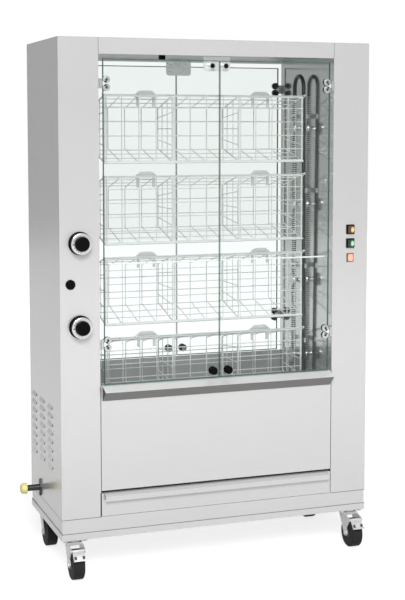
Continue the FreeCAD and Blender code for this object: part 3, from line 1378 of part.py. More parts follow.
def castor_bolt(x, y):
    """Bolt and nut as one fastened piece, from under the castor plate to above the tray."""
    under = BASE_BOTTOM - CASTOR_PLATE
    above = BASE_BOTTOM + BASE_SHEET
    return joined(
        [
            rod_z(x, y, under - BOLT_HEAD, under, BOLT_HEAD_RADIUS),
            rod_z(x, y, under, above, BOLT_RADIUS),
            rod_z(x, y, above, above + NUT_HEIGHT, BOLT_HEAD_RADIUS),
        ]
    )


def castor_plates():
    """Four castor plates with their sixteen bolts."""
    plates = [castor_plate(x, y) for x, y in castor_places()]
    return plates + [castor_bolt(x, y) for x, y in castor_bolt_places()]


def fork_leg():
    """Right-hand cheek of a fork, about a swivel axis at x = y = 0."""
    axle_z = WHEEL_RADIUS
    outline = [
        (-FORK_HEAD_RADIUS, FORK_TOP),
        (FORK_HEAD_RADIUS / 2, FORK_TOP),
        (FORK_HEAD_RADIUS / 2, FORK_HEAD_BOTTOM),
        (-CASTOR_TRAIL + AXLE_HEAD_RADIUS + AXLE_RADIUS, axle_z - AXLE_RADIUS),
        (-CASTOR_TRAIL + AXLE_RADIUS, axle_z - 2 * AXLE_RADIUS),
        (-CASTOR_TRAIL - AXLE_RADIUS, axle_z - 2 * AXLE_RADIUS),
        (-CASTOR_TRAIL - AXLE_HEAD_RADIUS - AXLE_RADIUS, axle_z),
    ]
    return prism_x(outline, FORK_INNER_HALF_WIDTH, FORK_OUTER_HALF_WIDTH)


def pedal_pivot():
    """Place in (y, z) of the brake pedal's pin, about a swivel axis at y = 0."""
    angle = math.radians(PEDAL_TOP_ANGLE)
    y = -CASTOR_TRAIL - PEDAL_PIVOT_RADIUS * math.cos(angle)
    return y, WHEEL_RADIUS + PEDAL_PIVOT_RADIUS * math.sin(angle)


def pedal_ear():
    """Right-hand ear of a fork that carries the pedal's pin."""
    y, z = pedal_pivot()
    ring = rod_x(FORK_INNER_HALF_WIDTH, FORK_OUTER_HALF_WIDTH, y, z, PEDAL_EYE_RADIUS)
    arm = prism_x(
        [
            (-FORK_HEAD_RADIUS / 2, FORK_TOP),
            (y, z + PEDAL_EYE_RADIUS),
            (y, z - PEDAL_EYE_RADIUS),
            (-CASTOR_TRAIL, WHEEL_RADIUS + AXLE_HEAD_RADIUS),
        ],
        FORK_INNER_HALF_WIDTH,
        FORK_OUTER_HALF_WIDTH,
    )
    return joined([ring, arm])


def castor_fork(braked):
    """Fork with its head, cheeks and axle, about a swivel axis at x = y = 0."""
    half = FORK_OUTER_HALF_WIDTH
    head = rod_z(0, 0, FORK_HEAD_BOTTOM, FORK_TOP, FORK_HEAD_RADIUS)
    bridge = box(-half, half, -FORK_HEAD_RADIUS, FORK_HEAD_RADIUS / 2, FORK_HEAD_BOTTOM, FORK_TOP)
    leg = fork_leg()
    ends = half + AXLE_HEAD
    pieces = [head, bridge, leg, flip_x(leg)]
    pieces.append(rod_x(-ends, ends, -CASTOR_TRAIL, WHEEL_RADIUS, AXLE_RADIUS))
    pieces.append(rod_x(half, ends, -CASTOR_TRAIL, WHEEL_RADIUS, AXLE_HEAD_RADIUS))
    pieces.append(rod_x(-ends, -half, -CASTOR_TRAIL, WHEEL_RADIUS, AXLE_HEAD_RADIUS))
    if braked:
        y, z = pedal_pivot()
        pieces += [pedal_ear(), flip_x(pedal_ear()), rod_x(-half, half, y, z, PEDAL_PIN_RADIUS)]
    fork = joined(pieces)
    return fork.cut(rod_z(0, 0, FORK_HEAD_BOTTOM, FORK_TOP, KINGPIN_RADIUS + KINGPIN_CLEARANCE))


def ring_about_axle(profile):
    """An (x, radius) outline turned about the wheel's axle."""
    corners = [V(x, -CASTOR_TRAIL, WHEEL_RADIUS + radius) for x, radius in profile]
    face = Part.Face(Part.makePolygon(corners + corners[:1]))
    return face.revolve(V(0, -CASTOR_TRAIL, WHEEL_RADIUS), V(1, 0, 0), 360)


def castor_wheel():
    """Tyre and hub of a wheel, about a swivel axis at x = y = 0."""
    rim = WHEEL_RADIUS - TYRE_THICKNESS
    half = WHEEL_HALF_WIDTH
    flat = half - TYRE_SHOULDER
    shoulder = WHEEL_RADIUS - TYRE_SHOULDER / 2
    right_side = [(half, rim), (half, shoulder), (flat, WHEEL_RADIUS)]
    left_side = [(-flat, WHEEL_RADIUS), (-half, shoulder), (-half, rim)]
    tyre = ring_about_axle(right_side + left_side)
    bore = AXLE_RADIUS + AXLE_CLEARANCE
    boss = 3 * AXLE_RADIUS
    web = half / 2
    hub = ring_about_axle(
        [
            (-HUB_HALF_WIDTH, bore),
            (HUB_HALF_WIDTH, bore),
            (HUB_HALF_WIDTH, boss),
            (web, boss),
            (web, rim - TYRE_SHOULDER),
            (half, rim - TYRE_SHOULDER),
            (half, rim),
            (-half, rim),
            (-half, rim - TYRE_SHOULDER),
            (-web, rim - TYRE_SHOULDER),
            (-web, boss),
            (-HUB_HALF_WIDTH, boss),
        ]
    )
    return [tyre, hub]


def brake_pedal():
    """Curved brake pedal over the wheel, about a swivel axis at x = y = 0."""
    def at(radius, degrees):
        angle = math.radians(degrees)
        return (-CASTOR_TRAIL - radius * math.cos(angle), WHEEL_RADIUS + radius * math.sin(angle))

    step = (PEDAL_TOP_ANGLE - PEDAL_TIP_ANGLE) / PEDAL_CURVE_STEPS
    angles = [PEDAL_TIP_ANGLE + i * step for i in range(PEDAL_CURVE_STEPS + 1)]
    outline = [at(PEDAL_INNER, angle) for angle in angles]
    outline += [at(PEDAL_OUTER, angle) for angle in reversed(angles[1:])]
    outline += [at(PEDAL_OUTER + PEDAL_LIP, PEDAL_TIP_ANGLE + PEDAL_THICKNESS)]
    outline += [at(PEDAL_OUTER + PEDAL_LIP, PEDAL_TIP_ANGLE)]
    plate = prism_x(outline, -PEDAL_HALF_WIDTH, PEDAL_HALF_WIDTH)
    y, z = pedal_pivot()
    knuckle = rod_x(-PEDAL_HALF_WIDTH, PEDAL_HALF_WIDTH, y, z, PEDAL_KNUCKLE_RADIUS)
    bore = rod_x(-PEDAL_HALF_WIDTH, PEDAL_HALF_WIDTH, y, z, PEDAL_PIN_RADIUS + PEDAL_PIN_CLEARANCE)
    return joined([plate, knuckle]).cut(bore)


def write(name, shape):
    """Write one node, moved to the part's own origin."""
    solids = shape if isinstance(shape, list) else [shape]
    placed = [moved(solid, ORIGIN_SHIFT) for solid in solids]
    result = placed[0] if len(placed) == 1 else Part.makeCompound(placed)
    result.exportStep("parts/" + name + ".step")


def write_cabinet():
    """Casing, chamber and fixed drawer pieces."""
    write("base_frame", base_frame())
    write("plinth", plinth())
    write("left_column", left_column())
    write("right_column", right_column())
    wall = inner_wall()
    write("inner_walls", [wall, flip_x(wall)])
    write("top_cover", top_cover())
    header = front_header()
    write("headers", [header, flip_y(header)])
    write("ceiling_panel", ceiling_panel())
    write("rear_lower_panel", rear_lower_panel())
    write("drawer_shelf", drawer_shelf())
    write("drawer_runners", drawer_runners())
    write("hinge_brackets", hinges())
    stop = door_stop()
    write("door_stops", stop + [flip_y(piece) for piece in stop])
    write("door_switch", door_switch())


def write_gas_and_drive():
    """Burners, gas fittings, switches and the chain drive."""
    tube = burner_tube()
    write("burner_tubes", [tube, flip_x(tube)])
    clips = [burner_clip(BURNER_TOP - drop) for drop in CLIP_DROPS]
    write("burner_clips", clips + [flip_x(clip) for clip in clips])
    write("gas_pipework", gas_pipework())
    write("inlet_cap", inlet_cap())
    valves = []
    for z in KNOB_HEIGHTS:
        valves += gas_valve(z)
    write("gas_valves", valves + [igniter_body()])
    write("gear_motor", gear_motor())
    write("motor_sprocket", motor_sprocket())
    write("drive_chain", drive_chain())
    write("spindle_bearings", spindle_bearings())
    write("switch_bodies", [switch_body(z) for z in ROCKER_HEIGHTS] + [pilot_lamp()])
    write("cable_gland", cable_gland())


def write_doors_and_drawers():
    """Four glass leaves and two drawers."""
    glass = door_glass()
    fittings = door_fittings()
    sides = {
        "front_right": (glass, fittings),
        "front_left": (flip_x(glass), [flip_x(piece) for piece in fittings]),
        "rear_right": (flip_y(glass), [flip_y(piece) for piece in fittings]),
        "rear_left": (flip_y(flip_x(glass)), [flip_y(flip_x(piece)) for piece in fittings]),
    }
    for side, (pane, pieces) in sides.items():
        write(side + "_glass", pane)
        write(side + "_fittings", pieces)
    write("deep_drawer_front", deep_drawer_front())
    write("deep_drawer_pan", drawer_box(PAN_BOTTOM, PAN_RIM, DEEP_RUNNER_Z))
    write("lower_drawer", lower_drawer())


def write_baskets():
    """Four baskets, each a cage with its sprocket and a lid."""
    cage = basket_cage()
    lid = basket_lid()
    for number, z in enumerate(basket_heights(), start=1):
        lift = V(0, 0, z)
        write("basket_%d_cage" % number, [moved(cage, lift), sprocket(z, tooth_turn(z))])
        write("basket_%d_lid" % number, moved(lid, lift))


def write_controls():
    """Knobs, igniter button and rockers."""
    for name, z in zip(("upper", "lower"), KNOB_HEIGHTS):
        write(name + "_gas_knob", gas_knob(z))
    write("igniter_button", igniter_button())
    for name, z in zip(("light", "motor"), ROCKER_HEIGHTS):
        write(name + "_rocker", rocker(z))


def write_castors():
    """Castor plates, forks, wheels and the front brake pedals."""
    write("castor_plates", castor_plates())
    names = ("front_left", "front_right", "rear_left", "rear_right")
    for name, (x, y) in zip(names, castor_places()):
        place = V(x, y, 0)
        braked = y < 0
        write(name + "_fork", moved(castor_fork(braked), place))
        write(name + "_wheel", [moved(piece, place) for piece in castor_wheel()])
        if braked:
            write(name + "_brake_pedal", moved(brake_pedal(), place))


os.makedirs("parts", exist_ok=True)
write_cabinet()
write_gas_and_drive()
write_doors_and_drawers()
write_baskets()
write_controls()
write_castors()
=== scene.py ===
from math import cos, pi, radians, sin, tan
import bmesh
import bpy
from mathutils import Euler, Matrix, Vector


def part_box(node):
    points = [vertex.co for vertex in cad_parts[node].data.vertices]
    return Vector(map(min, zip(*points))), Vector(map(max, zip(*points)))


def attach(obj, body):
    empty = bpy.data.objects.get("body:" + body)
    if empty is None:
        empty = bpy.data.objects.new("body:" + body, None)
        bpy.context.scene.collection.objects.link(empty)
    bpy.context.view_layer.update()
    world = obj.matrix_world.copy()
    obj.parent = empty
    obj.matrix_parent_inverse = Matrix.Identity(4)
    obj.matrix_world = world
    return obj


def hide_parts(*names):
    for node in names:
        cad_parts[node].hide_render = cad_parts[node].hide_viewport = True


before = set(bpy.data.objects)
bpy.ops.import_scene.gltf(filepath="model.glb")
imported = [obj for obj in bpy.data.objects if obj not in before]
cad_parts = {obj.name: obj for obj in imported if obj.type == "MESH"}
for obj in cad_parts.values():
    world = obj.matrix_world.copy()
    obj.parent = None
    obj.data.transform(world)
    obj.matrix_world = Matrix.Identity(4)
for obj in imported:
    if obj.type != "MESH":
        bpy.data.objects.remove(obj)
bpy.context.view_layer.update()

# Sizes are in millimetres, places start from the middle of the cabinet and from the floor, and
# angles are in degrees
MM = 0.001

# The doors and castors are named after the cabinet's corners
CORNERS = ("front_left", "front_right", "rear_left", "rear_right")

# Cabinet and drawers
JOINT_PROUD = 0.12
JOINT_HALF = 0.6
DRAWER_GAP = 2.4
DRAWER_GAP_RISE = 3.0
LIP_LOWEST = 400.0
LIP_REACH = 40.0
LIP_NOSE_DROP = 16.0
LIP_HEIGHT = 50.0
LIP_SIDE_GAP = 5.0
LIP_ENDS_BACK = 30.0
HOLLOW_INSET = 1.5
HOLLOW_PROUD = 0.05
HOLLOW_BACK = 0.3
HOLLOW_THICKNESS = 1.0
MOTOR_SHELF_TOP = 352.5
IGNITER_RIGHT = -500.0
CAP_FURTHER = 6.0

# Wire baskets
COMPARTMENTS = 3
COLUMNS = 4
LID_ROWS = 5
CAGE_ROWS = 3
END_ROWS = 4
HALF_LENGTH = 363.0
REAR_Y = 78.0
REAR_HALF = 76.0
WIRE_RADIUS = 1.6
RIM_RADIUS = 2.3
RAIL_RADIUS = 3.6
DOUBLE_WIRE = 4.0
WIRE_BEND = 7.0
ARC_STEPS = 5
LID_GAP = 1.5
PIN_DROP = 1.5
PIN_RADIUS = 1.4
EYE_OUT = 4.0
EYE_RADIUS = 3.4
EYE_WIRE = 1.3
EYE_ARM = 1.5
TAB_X = 209.5
TAB_Y = -70.0
TAB_BOTTOM = 83.0
TAB_TOP = 41.0
TAB_HEIGHT = 18.0
TAB_THICKNESS = 3.0
TAB_LEG_SPACING = 56.0
TAB_LEG_WIDTH = 10.0

# Spindles and their sprockets
SPINDLE_RADIUS = 8.0
HUB_RADIUS = 24.0
HUB_THICKNESS = 7.0
HUB_SCREWS = 3
SCREW_CIRCLE = 17.0
CHAIN_X = 447.0
CHAIN_PITCH = 12.7
TEETH = 18
ROOT_DEPTH = 3.6
TIP_HEIGHT = 2.5
ROOT_ANGLE = 5.0
TIP_ANGLE = 2.5
SPROCKET_THICKNESS = 3.0

# Burners
TUBE_RADIUS = 7.0
TUBE_STUB = 20.0
FOOT_BEND = 9.0
BEND_STEPS = 20
RIB_TOP = 1597.0
RIBS_ABOVE_FOOT = 30.0
RIB_PITCH = 7.0
RIB_WIDTH = 3.8
RIB_DEPTH = 1.1
RIB_SLOPE = 0.3

# Doors and their fittings
GLASS = 6.0
PANE_EDGE = 2.8
PANE_SEAM = 0.5
PANE_PROUD = 0.05
HINGE_HEIGHTS = (1622.5, 775.0)
LOBE_RADIUS = 12.0
LOBE_SPACING = 25.0
CLAMP_THICKNESS = 4.0
WEB_HALF = 8.0
WEB_THICKNESS = 1.5
HINGE_OUT = 7.0
HINGE_PROUD = 5.0
BARREL_HALF = 7.6
FILLET_STEPS = 4
HOLE_RADIUS = 4.0
KNOB_FROM_CENTRE = 27.0
KNOB_Z = 666.0
MAGNET_FROM_CENTRE = 24.0
MAGNET_RADIUS = 10.0
MAGNET_BELOW_CEILING = 32.75
STRIP_Z = 1037.0
STRIP_HALF_HEIGHT = 2.6
STRIP_DEPTH = 2.0

# Controls
DIAL_RADIUS = 34.0
DIAL_FACE = 30.0
DIAL_DOTS = ((183, 2.4), (158, 1.7), (208, 1.3), (226, 1.3), (244, 1.3), (262, 1.3), (140, 1.3))
GRIP_RADIUS = 24.0
GRIP_FACE = 45.0
GRIP_RIDGES = 24
KNOB_BACK = 3.5
ROCKER_HEIGHTS = {"light": 1129.0, "motor": 1081.0}
ROCKER_HALF = 13.0
ROCKER_WIDTH = 24.0
ROCKER_RADIUS = 12.2
ROCKER_SWEEP = 47.0
ROCKER_STEPS = 12
PILOT_Z = 1030.5

# Castors
WHEEL_RADIUS = 50.0
WHEEL_HALF = 19.0
TYRE = 10.0
TREAD_ROUND = 5.0
TREAD_FLAT = 14.0
TREAD_RISE = 4.6
TREAD_STEPS = 8
HUB_SPOKES = 6
PEDAL_OUTER = 59.0
SLOT_INNER = 9.5
SLOT_OUTER = 18.0
SLOT_PROUD = 0.15
SLOT_DEPTH = 0.6
SLOT_ANGLES = (28.0, 32.0, 37.0, 42.0)

# The camera stands a little to the left of the cabinet, at shoulder height, looking slightly down
CAMERA_PLACE = (-1535.29, -4298.061, 1483.25)
CAMERA_TURN = 19.8999
CAMERA_DIP = 4.9603
CAMERA_LENS = 78.179
CAMERA_SENSOR = 36.0
CAMERA_SHIFT = -0.10
FLOOR_HALF_M = 12.0
FLOOR_DROP_M = 0.0005

# Places read from the frame
base_low, base_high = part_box("base_frame")
MID_X = (base_low.x + base_high.x) / 2
MID_Y = (base_low.y + base_high.y) / 2
HALF_WIDTH = (base_high.x - base_low.x) / 2 / MM
HALF_DEPTH = (base_high.y - base_low.y) / 2 / MM
FRONT = -HALF_DEPTH
GLASS_BACK = FRONT + GLASS
OUTWARD = (0, -1, 0)
INWARD = (0, 1, 0)


def at(x, y, z):
    """A point in the frame, in metres, from cabinet millimetres."""
    return Vector((MID_X + x * MM, MID_Y + y * MM, z * MM))


def span(node):
    """Lowest and highest corner of a node in cabinet millimetres."""
    low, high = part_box(node)
    shift = Vector((MID_X, MID_Y, 0))
    return (low - shift) / MM, (high - shift) / MM


def middle(node):
    """Centre of a node's box in cabinet millimetres."""
    low, high = span(node)
    return (low + high) / 2


def around(count, start=0.0):
    """Evenly spaced directions in radians, beginning at a start angle in degrees."""
    return [radians(start) + 2 * pi * i / count for i in range(count)]


def circle(centre, across, side, radius, sides):
    """Points round a centre, in the plane of two directions."""
    return [centre + (across * cos(a) + side * sin(a)) * radius for a in around(sides)]


# Material building


def new_material(name):
    made = bpy.data.materials.new(name)
    made.use_nodes = True
    made.node_tree.nodes.clear()
    return made, made.node_tree


def add_node(tree, kind, inputs=None, **settings):
    """A shader node with its settings, values and incoming links."""
    made = tree.nodes.new("ShaderNode" + kind)
    for name, value in settings.items():
        setattr(made, name, value)
    for name, value in (inputs or {}).items():
        if isinstance(value, bpy.types.NodeSocket):
            tree.links.new(value, made.inputs[name])
        else:
            made.inputs[name].default_value = value
    return made


def out(made, name=0):
    return made.outputs[name]


def close(made, tree, shader):
    """Link the last shader to the material's output."""
    end = add_node(tree, "OutputMaterial")
    tree.links.new(shader, end.inputs["Surface"])
    return made


def close_surface(made, tree, inputs):
    """End the material with one all-purpose surface shader."""
    return close(made, tree, out(add_node(tree, "BsdfPrincipled", inputs)))


def worked(tree, operation, first, second=0.0):
    """The result of a sum on two values."""
    return out(add_node(tree, "Math", {0: first, 1: second}, operation=operation))


def object_place(tree):
    return out(add_node(tree, "TexCoord"), "Object")


def stretched_noise(tree, grain, detail=4.0):
    """Noise in object space, drawn out along the axis with the smallest grain."""
    mapped = out(add_node(tree, "Mapping", {"Vector": object_place(tree), "Scale": grain}))
    return out(add_node(tree, "TexNoise", {"Vector": mapped, "Scale": 1.0, "Detail": detail}), "Fac")


def ranged(tree, value, low, high, start=0.3, end=0.7):
    """The value spread from low to high."""
    settings = {"Value": value, "From Min": start, "From Max": end, "To Min": low, "To Max": high}
    return out(add_node(tree, "MapRange", settings), "Result")


def scaled(tree, colour, amount):
    """A colour made darker or lighter by a factor."""
    return out(add_node(tree, "VectorMath", {0: colour, "Scale": amount}, operation="SCALE"), "Vector")


def relief_of(tree, height, strength):
    """Fine relief from a height, a fifth of a millimetre deep at full strength."""
    return add_node(tree, "Bump", {"Height": height, "Strength": strength, "Distance": 0.2 * MM})


def varied(name, colour, roughness, metallic, grain,
           spread=0.05, gloss=0.12, bump=0.15, rounded=0.0, specular=0.5):
    """Surface whose colour, gloss and relief vary with fine stretched noise and a broad one."""
    made, tree = new_material(name)
    fine = stretched_noise(tree, grain)
    broad = stretched_noise(tree, (3, 3, 3), 2.0)
    both = worked(tree, "ADD", fine, broad)
    shade = ranged(tree, both, 1 - spread, 1 + spread, 0.7, 1.3)
    relief = relief_of(tree, fine, bump)
    if rounded:
        edges = add_node(tree, "Bevel", {"Radius": rounded * MM}, samples=4)
        tree.links.new(out(edges), relief.inputs["Normal"])
    inputs = {
        "Base Color": scaled(tree, colour, shade),
        "Roughness": ranged(tree, both, roughness * (1 - gloss), roughness * (1 + gloss), 0.7, 1.3),
        "Metallic": metallic,
        "Specular IOR Level": specular,
        "Normal": out(relief),
    }
    return close_surface(made, tree, inputs)


def spangled(name, colour, roughness):
    """Zinc with its faint crystal pattern."""
    made, tree = new_material(name)
    cells = add_node(tree, "TexVoronoi", {"Vector": object_place(tree), "Scale": 160.0})
    chance = out(add_node(tree, "SeparateXYZ", {0: out(cells, "Color")}), "X")
    tone = ranged(tree, chance, 0.9, 1.08, 0.0, 1.0)
    dirt = ranged(tree, stretched_noise(tree, (30, 30, 30)), 0.94, 1.04)
    factor = worked(tree, "MULTIPLY", tone, dirt)
    inputs = {
        "Base Color": scaled(tree, colour, factor),
        "Metallic": 0.5,
        "Roughness": ranged(tree, factor, roughness * 1.1, roughness * 0.9, 0.85, 1.1),
        "Normal": out(relief_of(tree, out(cells, "Distance"), 0.08)),
    }
    return close_surface(made, tree, inputs)


def clear_glass(name, tint, edge):
    """Thin clear pane: tinted see-through faces with a sharp gloss, and deep green cut edges."""
    made, tree = new_material(name)
    smear = ranged(tree, stretched_noise(tree, (6, 6, 2)), 0.015, 0.05)
    film = out(add_node(tree, "BsdfTransparent", {"Color": tint}))
    shine = out(add_node(tree, "BsdfGlossy", {"Color": (0.4, 0.4, 0.4, 1), "Roughness": smear}))
    slant = out(add_node(tree, "LayerWeight", {"Blend": 0.5}), "Facing")
    mirrored = ranged(tree, worked(tree, "POWER", slant, 5.0), 0.035, 1.0, 0.0, 1.0)
    face = out(add_node(tree, "MixShader", {0: mirrored, 1: film, 2: shine}))
    rim_colour = scaled(tree, edge, ranged(tree, stretched_noise(tree, (200, 200, 20)), 0.85, 1.15))
    rim_inputs = {"Base Color": rim_colour, "Roughness": 0.3, "Specular IOR Level": 0.2}
    rim = out(add_node(tree, "BsdfPrincipled", rim_inputs))
    facing = out(add_node(tree, "SeparateXYZ", {0: out(add_node(tree, "TexCoord"), "Normal")}), "Y")
    is_face = worked(tree, "GREATER_THAN", worked(tree, "ABSOLUTE", facing), 0.7)
    return close(made, tree, out(add_node(tree, "MixShader", {0: is_face, 1: rim, 2: face})))


def heated_tube(name):
    """Dark burner steel with heat tints along its length."""
    made, tree = new_material(name)
    ramp = add_node(tree, "ValToRGB", {"Fac": stretched_noise(tree, (25, 25, 5))})
    tints = ((0.35, (0.016, 0.0155, 0.016, 1)), (0.68, (0.075, 0.068, 0.062, 1)))
    for stop, (position, colour) in zip(ramp.color_ramp.elements, tints):
        stop.position = position
        stop.color = colour
    fine = stretched_noise(tree, (700, 700, 300))
    inputs = {
        "Base Color": out(ramp, "Color"),
        "Metallic": 0.35,
        "Roughness": ranged(tree, fine, 0.3, 0.45),
        "Normal": out(relief_of(tree, fine, 0.3)),
    }
    return close_surface(made, tree, inputs)


def lens_glow_and_glare(name, deep, glow, centre, size):
    """Coloured translucent plastic whose emission is brightest near one spot: on the pilot lamp its own
    glow, on the rockers a painted glare highlight.
    """
    made, tree = new_material(name)
    from_spot = out(add_node(tree, "VectorMath", {0: object_place(tree), 1: centre}, operation="SUBTRACT"))
    squeezed = out(add_node(tree, "VectorMath", {0: from_spot, 1: size}, operation="DIVIDE"))
    distance = out(add_node(tree, "VectorMath", {0: squeezed}, operation="LENGTH"), "Value")
    # Emission falling off from the spot: lamp glow on the pilot, painted glare on the rockers
    light = ranged(tree, distance, 1.0, 0.0, 0.6, 1.3)
    grain = ranged(tree, stretched_noise(tree, (400, 400, 400)), 0.92, 1.08)
    inputs = {
        "Base Color": scaled(tree, deep, grain),
        "Roughness": 0.18,
        "Emission Color": glow,
        "Emission Strength": worked(tree, "MULTIPLY", light, grain),
    }
    return close_surface(made, tree, inputs)


def even(grain):
    """The same grain along all three axes."""
    return (grain, grain, grain)


SHEET = (0.62, 0.622, 0.622)
UPRIGHT = (700, 700, 4)
ACROSS = (4, 700, 700)
sheet_upright = varied("brushed_upright", SHEET, 0.24, 0.4, UPRIGHT, 0.012, 0.05, 0.05, rounded=1.0)
sheet_across = varied("brushed_across", SHEET, 0.26, 0.4, ACROSS, 0.012, 0.05, 0.05, rounded=1.0)
# Lighter copy of the sheet for the lips' upward faces is painted light; the dark copy for their downward
# faces is painted shade
painted_light_lip = varied("painted_light_lip_sheet", (0.83, 0.83, 0.83), 0.3, 0.3, ACROSS, 0.012, 0.05, 0.05, rounded=1.0)
painted_shade_lip = varied("painted_shade_lip_sheet", (0.25, 0.245, 0.24), 0.3, 0.4, ACROSS, 0.03, 0.05, 0.05, rounded=1.0)
# Near-black for the dark joints, and painted shade in gaps, hollows, slots and on the drawers' end faces
shaded_edge = varied("shaded_edge", (0.05, 0.048, 0.047), 0.6, 0.2, ACROSS)
sheet_inside = varied("dull_sheet_inside", (0.6, 0.61, 0.61), 0.42, 0.7, ACROSS, 0.04)
ceiling_steel = varied("ceiling_sheet", (0.15, 0.165, 0.16), 0.3, 0.7, ACROSS, 0.03, bump=0.05)
polished = varied("polished_wall", (0.6, 0.615, 0.61), 0.14, 0.9, UPRIGHT, 0.03, bump=0.04)
wire_steel = varied("polished_wire", (0.86, 0.865, 0.865), 0.3, 0.5, even(250))
rim_steel = varied("rim_wire", (0.8, 0.81, 0.81), 0.32, 0.5, even(250), 0.06)
tab_steel = varied("handle_tab_sheet", (0.66, 0.675, 0.675), 0.34, 0.6, (30, 500, 500), 0.02, bump=0.05)
pale_steel = varied("pale_steel", (0.93, 0.94, 0.94), 0.3, 0.7, (60, 400, 400), 0.02, bump=0.05)
bright_steel = varied("bright_steel", (0.62, 0.64, 0.65), 0.28, 0.85, even(300), 0.06)
clamp_steel = varied("clamp_steel", (0.56, 0.59, 0.585), 0.3, 0.8, even(300), 0.06)
dark_screw = varied("dark_screw", (0.06, 0.062, 0.065), 0.4, 0.6, even(500), 0.1)
zinc = spangled("zinc_plate", (0.7, 0.705, 0.71), 0.42)
black_plastic = varied("black_plastic", (0.004, 0.004, 0.0043), 0.4, 0.0, even(1500), 0.15, specular=0.04)
black_paint = varied("black_paint", (0.02, 0.02, 0.021), 0.45, 0.0, even(700), 0.15, bump=0.3)
rubber = varied("tyre_rubber", (0.016, 0.016, 0.017), 0.7, 0.0, even(900), 0.2, bump=0.4, specular=0.25)
hub_plastic = varied("wheel_hub", (0.05, 0.05, 0.052), 0.5, 0.0, even(600), 0.12)
yellow_plastic = varied("yellow_cap", (0.86, 0.79, 0.3), 0.45, 0.0, even(700), 0.08)
brass = varied("valve_brass", (0.55, 0.4, 0.17), 0.35, 0.9, even(400), 0.08)
motor_paint = varied("motor_paint", (0.11, 0.145, 0.17), 0.45, 0.1, even(500), 0.08, bump=0.3)
oiled_steel = varied("oiled_chain", (0.3, 0.3, 0.3), 0.35, 0.85, even(350), 0.15)
silver_dial = varied("silver_dial", (0.64, 0.645, 0.65), 0.3, 0.8, (900, 60, 60), 0.04)
dial_ink = varied("dial_ink", (0.05, 0.05, 0.05), 0.5, 0.0, even(900), 0.1)
pilot_red = varied("pilot_frame", (0.07, 0.022, 0.02), 0.35, 0.0, even(900), 0.1)
edge_glass = varied("pane_edge", (0.05, 0.12, 0.1), 0.3, 0.0, (200, 200, 20), 0.1, bump=0.0, specular=0.3)
strip_clear = varied("clear_strip", (0.9, 0.93, 0.92), 0.2, 0.0, (5, 400, 400), 0.02)
glass = clear_glass("pane_glass", (0.984, 0.999, 0.992, 1), (0.025, 0.075, 0.06))
burner_steel = heated_tube("burner_steel")


# Mesh building


class Shape:
    """Vertices and faces of one piece, in millimetres, gathered from simple forms."""

    def __init__(self):
        self.vertices = []
        self.faces = []
        self.marks = []

    def add(self, vertices, faces, mark=0):
        """Take in more faces, marked with the number of one of the piece's materials."""
        start = len(self.vertices)
        self.vertices.extend(Vector(v) for v in vertices)
        for face in faces:
            self.faces.append([start + i for i in face])
            self.marks.append(mark)

    def rings(self, rings, closed=False, mark=0):
        """Skin a row of rings with equal numbers of points, capped at both ends unless closed."""
        sides = len(rings[0])
        count = len(rings)
        faces = []
        for i in range(count if closed else count - 1):
            a = i * sides
            b = (i + 1) % count * sides
            for j in range(sides):
                k = (j + 1) % sides
                faces.append((a + j, a + k, b + k, b + j))
        if not closed:
            faces.append(tuple(reversed(range(sides))))
            faces.append(tuple(range((count - 1) * sides, count * sides)))
        self.add([point for ring in rings for point in ring], faces, mark)

    def tube(self, points, radius, sides=8, closed=False, mark=0):
        """A round bar along the points; radius is one size or one for each point."""
        points = [Vector(p) for p in points]
        radii = radius if isinstance(radius, list) else [radius] * len(points)
        count = len(points)
        normal = None
        rings = []
        for i, point in enumerate(points):
            before = points[i - 1] if closed or i else point
            after = points[(i + 1) % count] if closed or i + 1 < count else point
            along = (after - before).normalized()
            normal = along.orthogonal() if normal is None else normal - along * normal.dot(along)
            normal.normalize()
            side = along.cross(normal)
            rings.append(circle(point, normal, side, radii[i], sides))
        self.rings(rings, closed, mark)

    def turned(self, profile, centre, axis, sides=48, mark=0):
        """A profile of (distance along the axis, radius) turned about the axis."""
        axis = Vector(axis).normalized()
        across = axis.orthogonal().normalized()
        side = axis.cross(across)
        least = 0.01
        rings = []
        for along, radius in profile:
            rings.append(circle(Vector(centre) + axis * along, across, side, max(radius, least), sides))
        self.rings(rings, mark=mark)

    def prism(self, outline, offset, mark=0):
        """A flat outline drawn out by an offset."""
        offset = Vector(offset)
        self.rings([[Vector(p) for p in outline], [Vector(p) + offset for p in outline]], mark=mark)

    def block(self, low, high, mark=0):
        """A box between two corners."""
        x0, y0, z0 = low
        x1, y1, z1 = high
        self.prism([(x0, y0, z0), (x1, y0, z0), (x1, y1, z0), (x0, y1, z0)], (0, 0, z1 - z0), mark)

    def bar(self, start, end, half):
        """A box along a line, grown by a half size along each axis."""
        self.block([a - b for a, b in zip(start, half)], [a + b for a, b in zip(end, half)])

    def flipped(self, sx, sy):
        """The mirror image across the middle of the cabinet."""
        made = Shape()
        made.vertices = [Vector((v.x * sx, v.y * sy, v.z)) for v in self.vertices]
        made.faces = self.faces
        made.marks = self.marks
        return made

    def mesh(self, name, materials, sharp=35):
        """A mesh in metres about the shape's own zero."""
        data = bpy.data.meshes.new(name)
        data.from_pydata([v * MM for v in self.vertices], [], self.faces)
        for material in materials:
            data.materials.append(material)
        for polygon, mark in zip(data.polygons, self.marks):
            polygon.material_index = mark
        work = bmesh.new()
        work.from_mesh(data)
        bmesh.ops.recalc_face_normals(work, faces=work.faces)
        work.to_mesh(data)
        work.free()
        data.shade_smooth()
        data.set_sharp_from_angle(angle=radians(sharp))
        return data


def new_object(name, data):
    """An object in the scene that shows the data."""
    made = bpy.data.objects.new(name, data)
    bpy.context.scene.collection.objects.link(made)
    return made


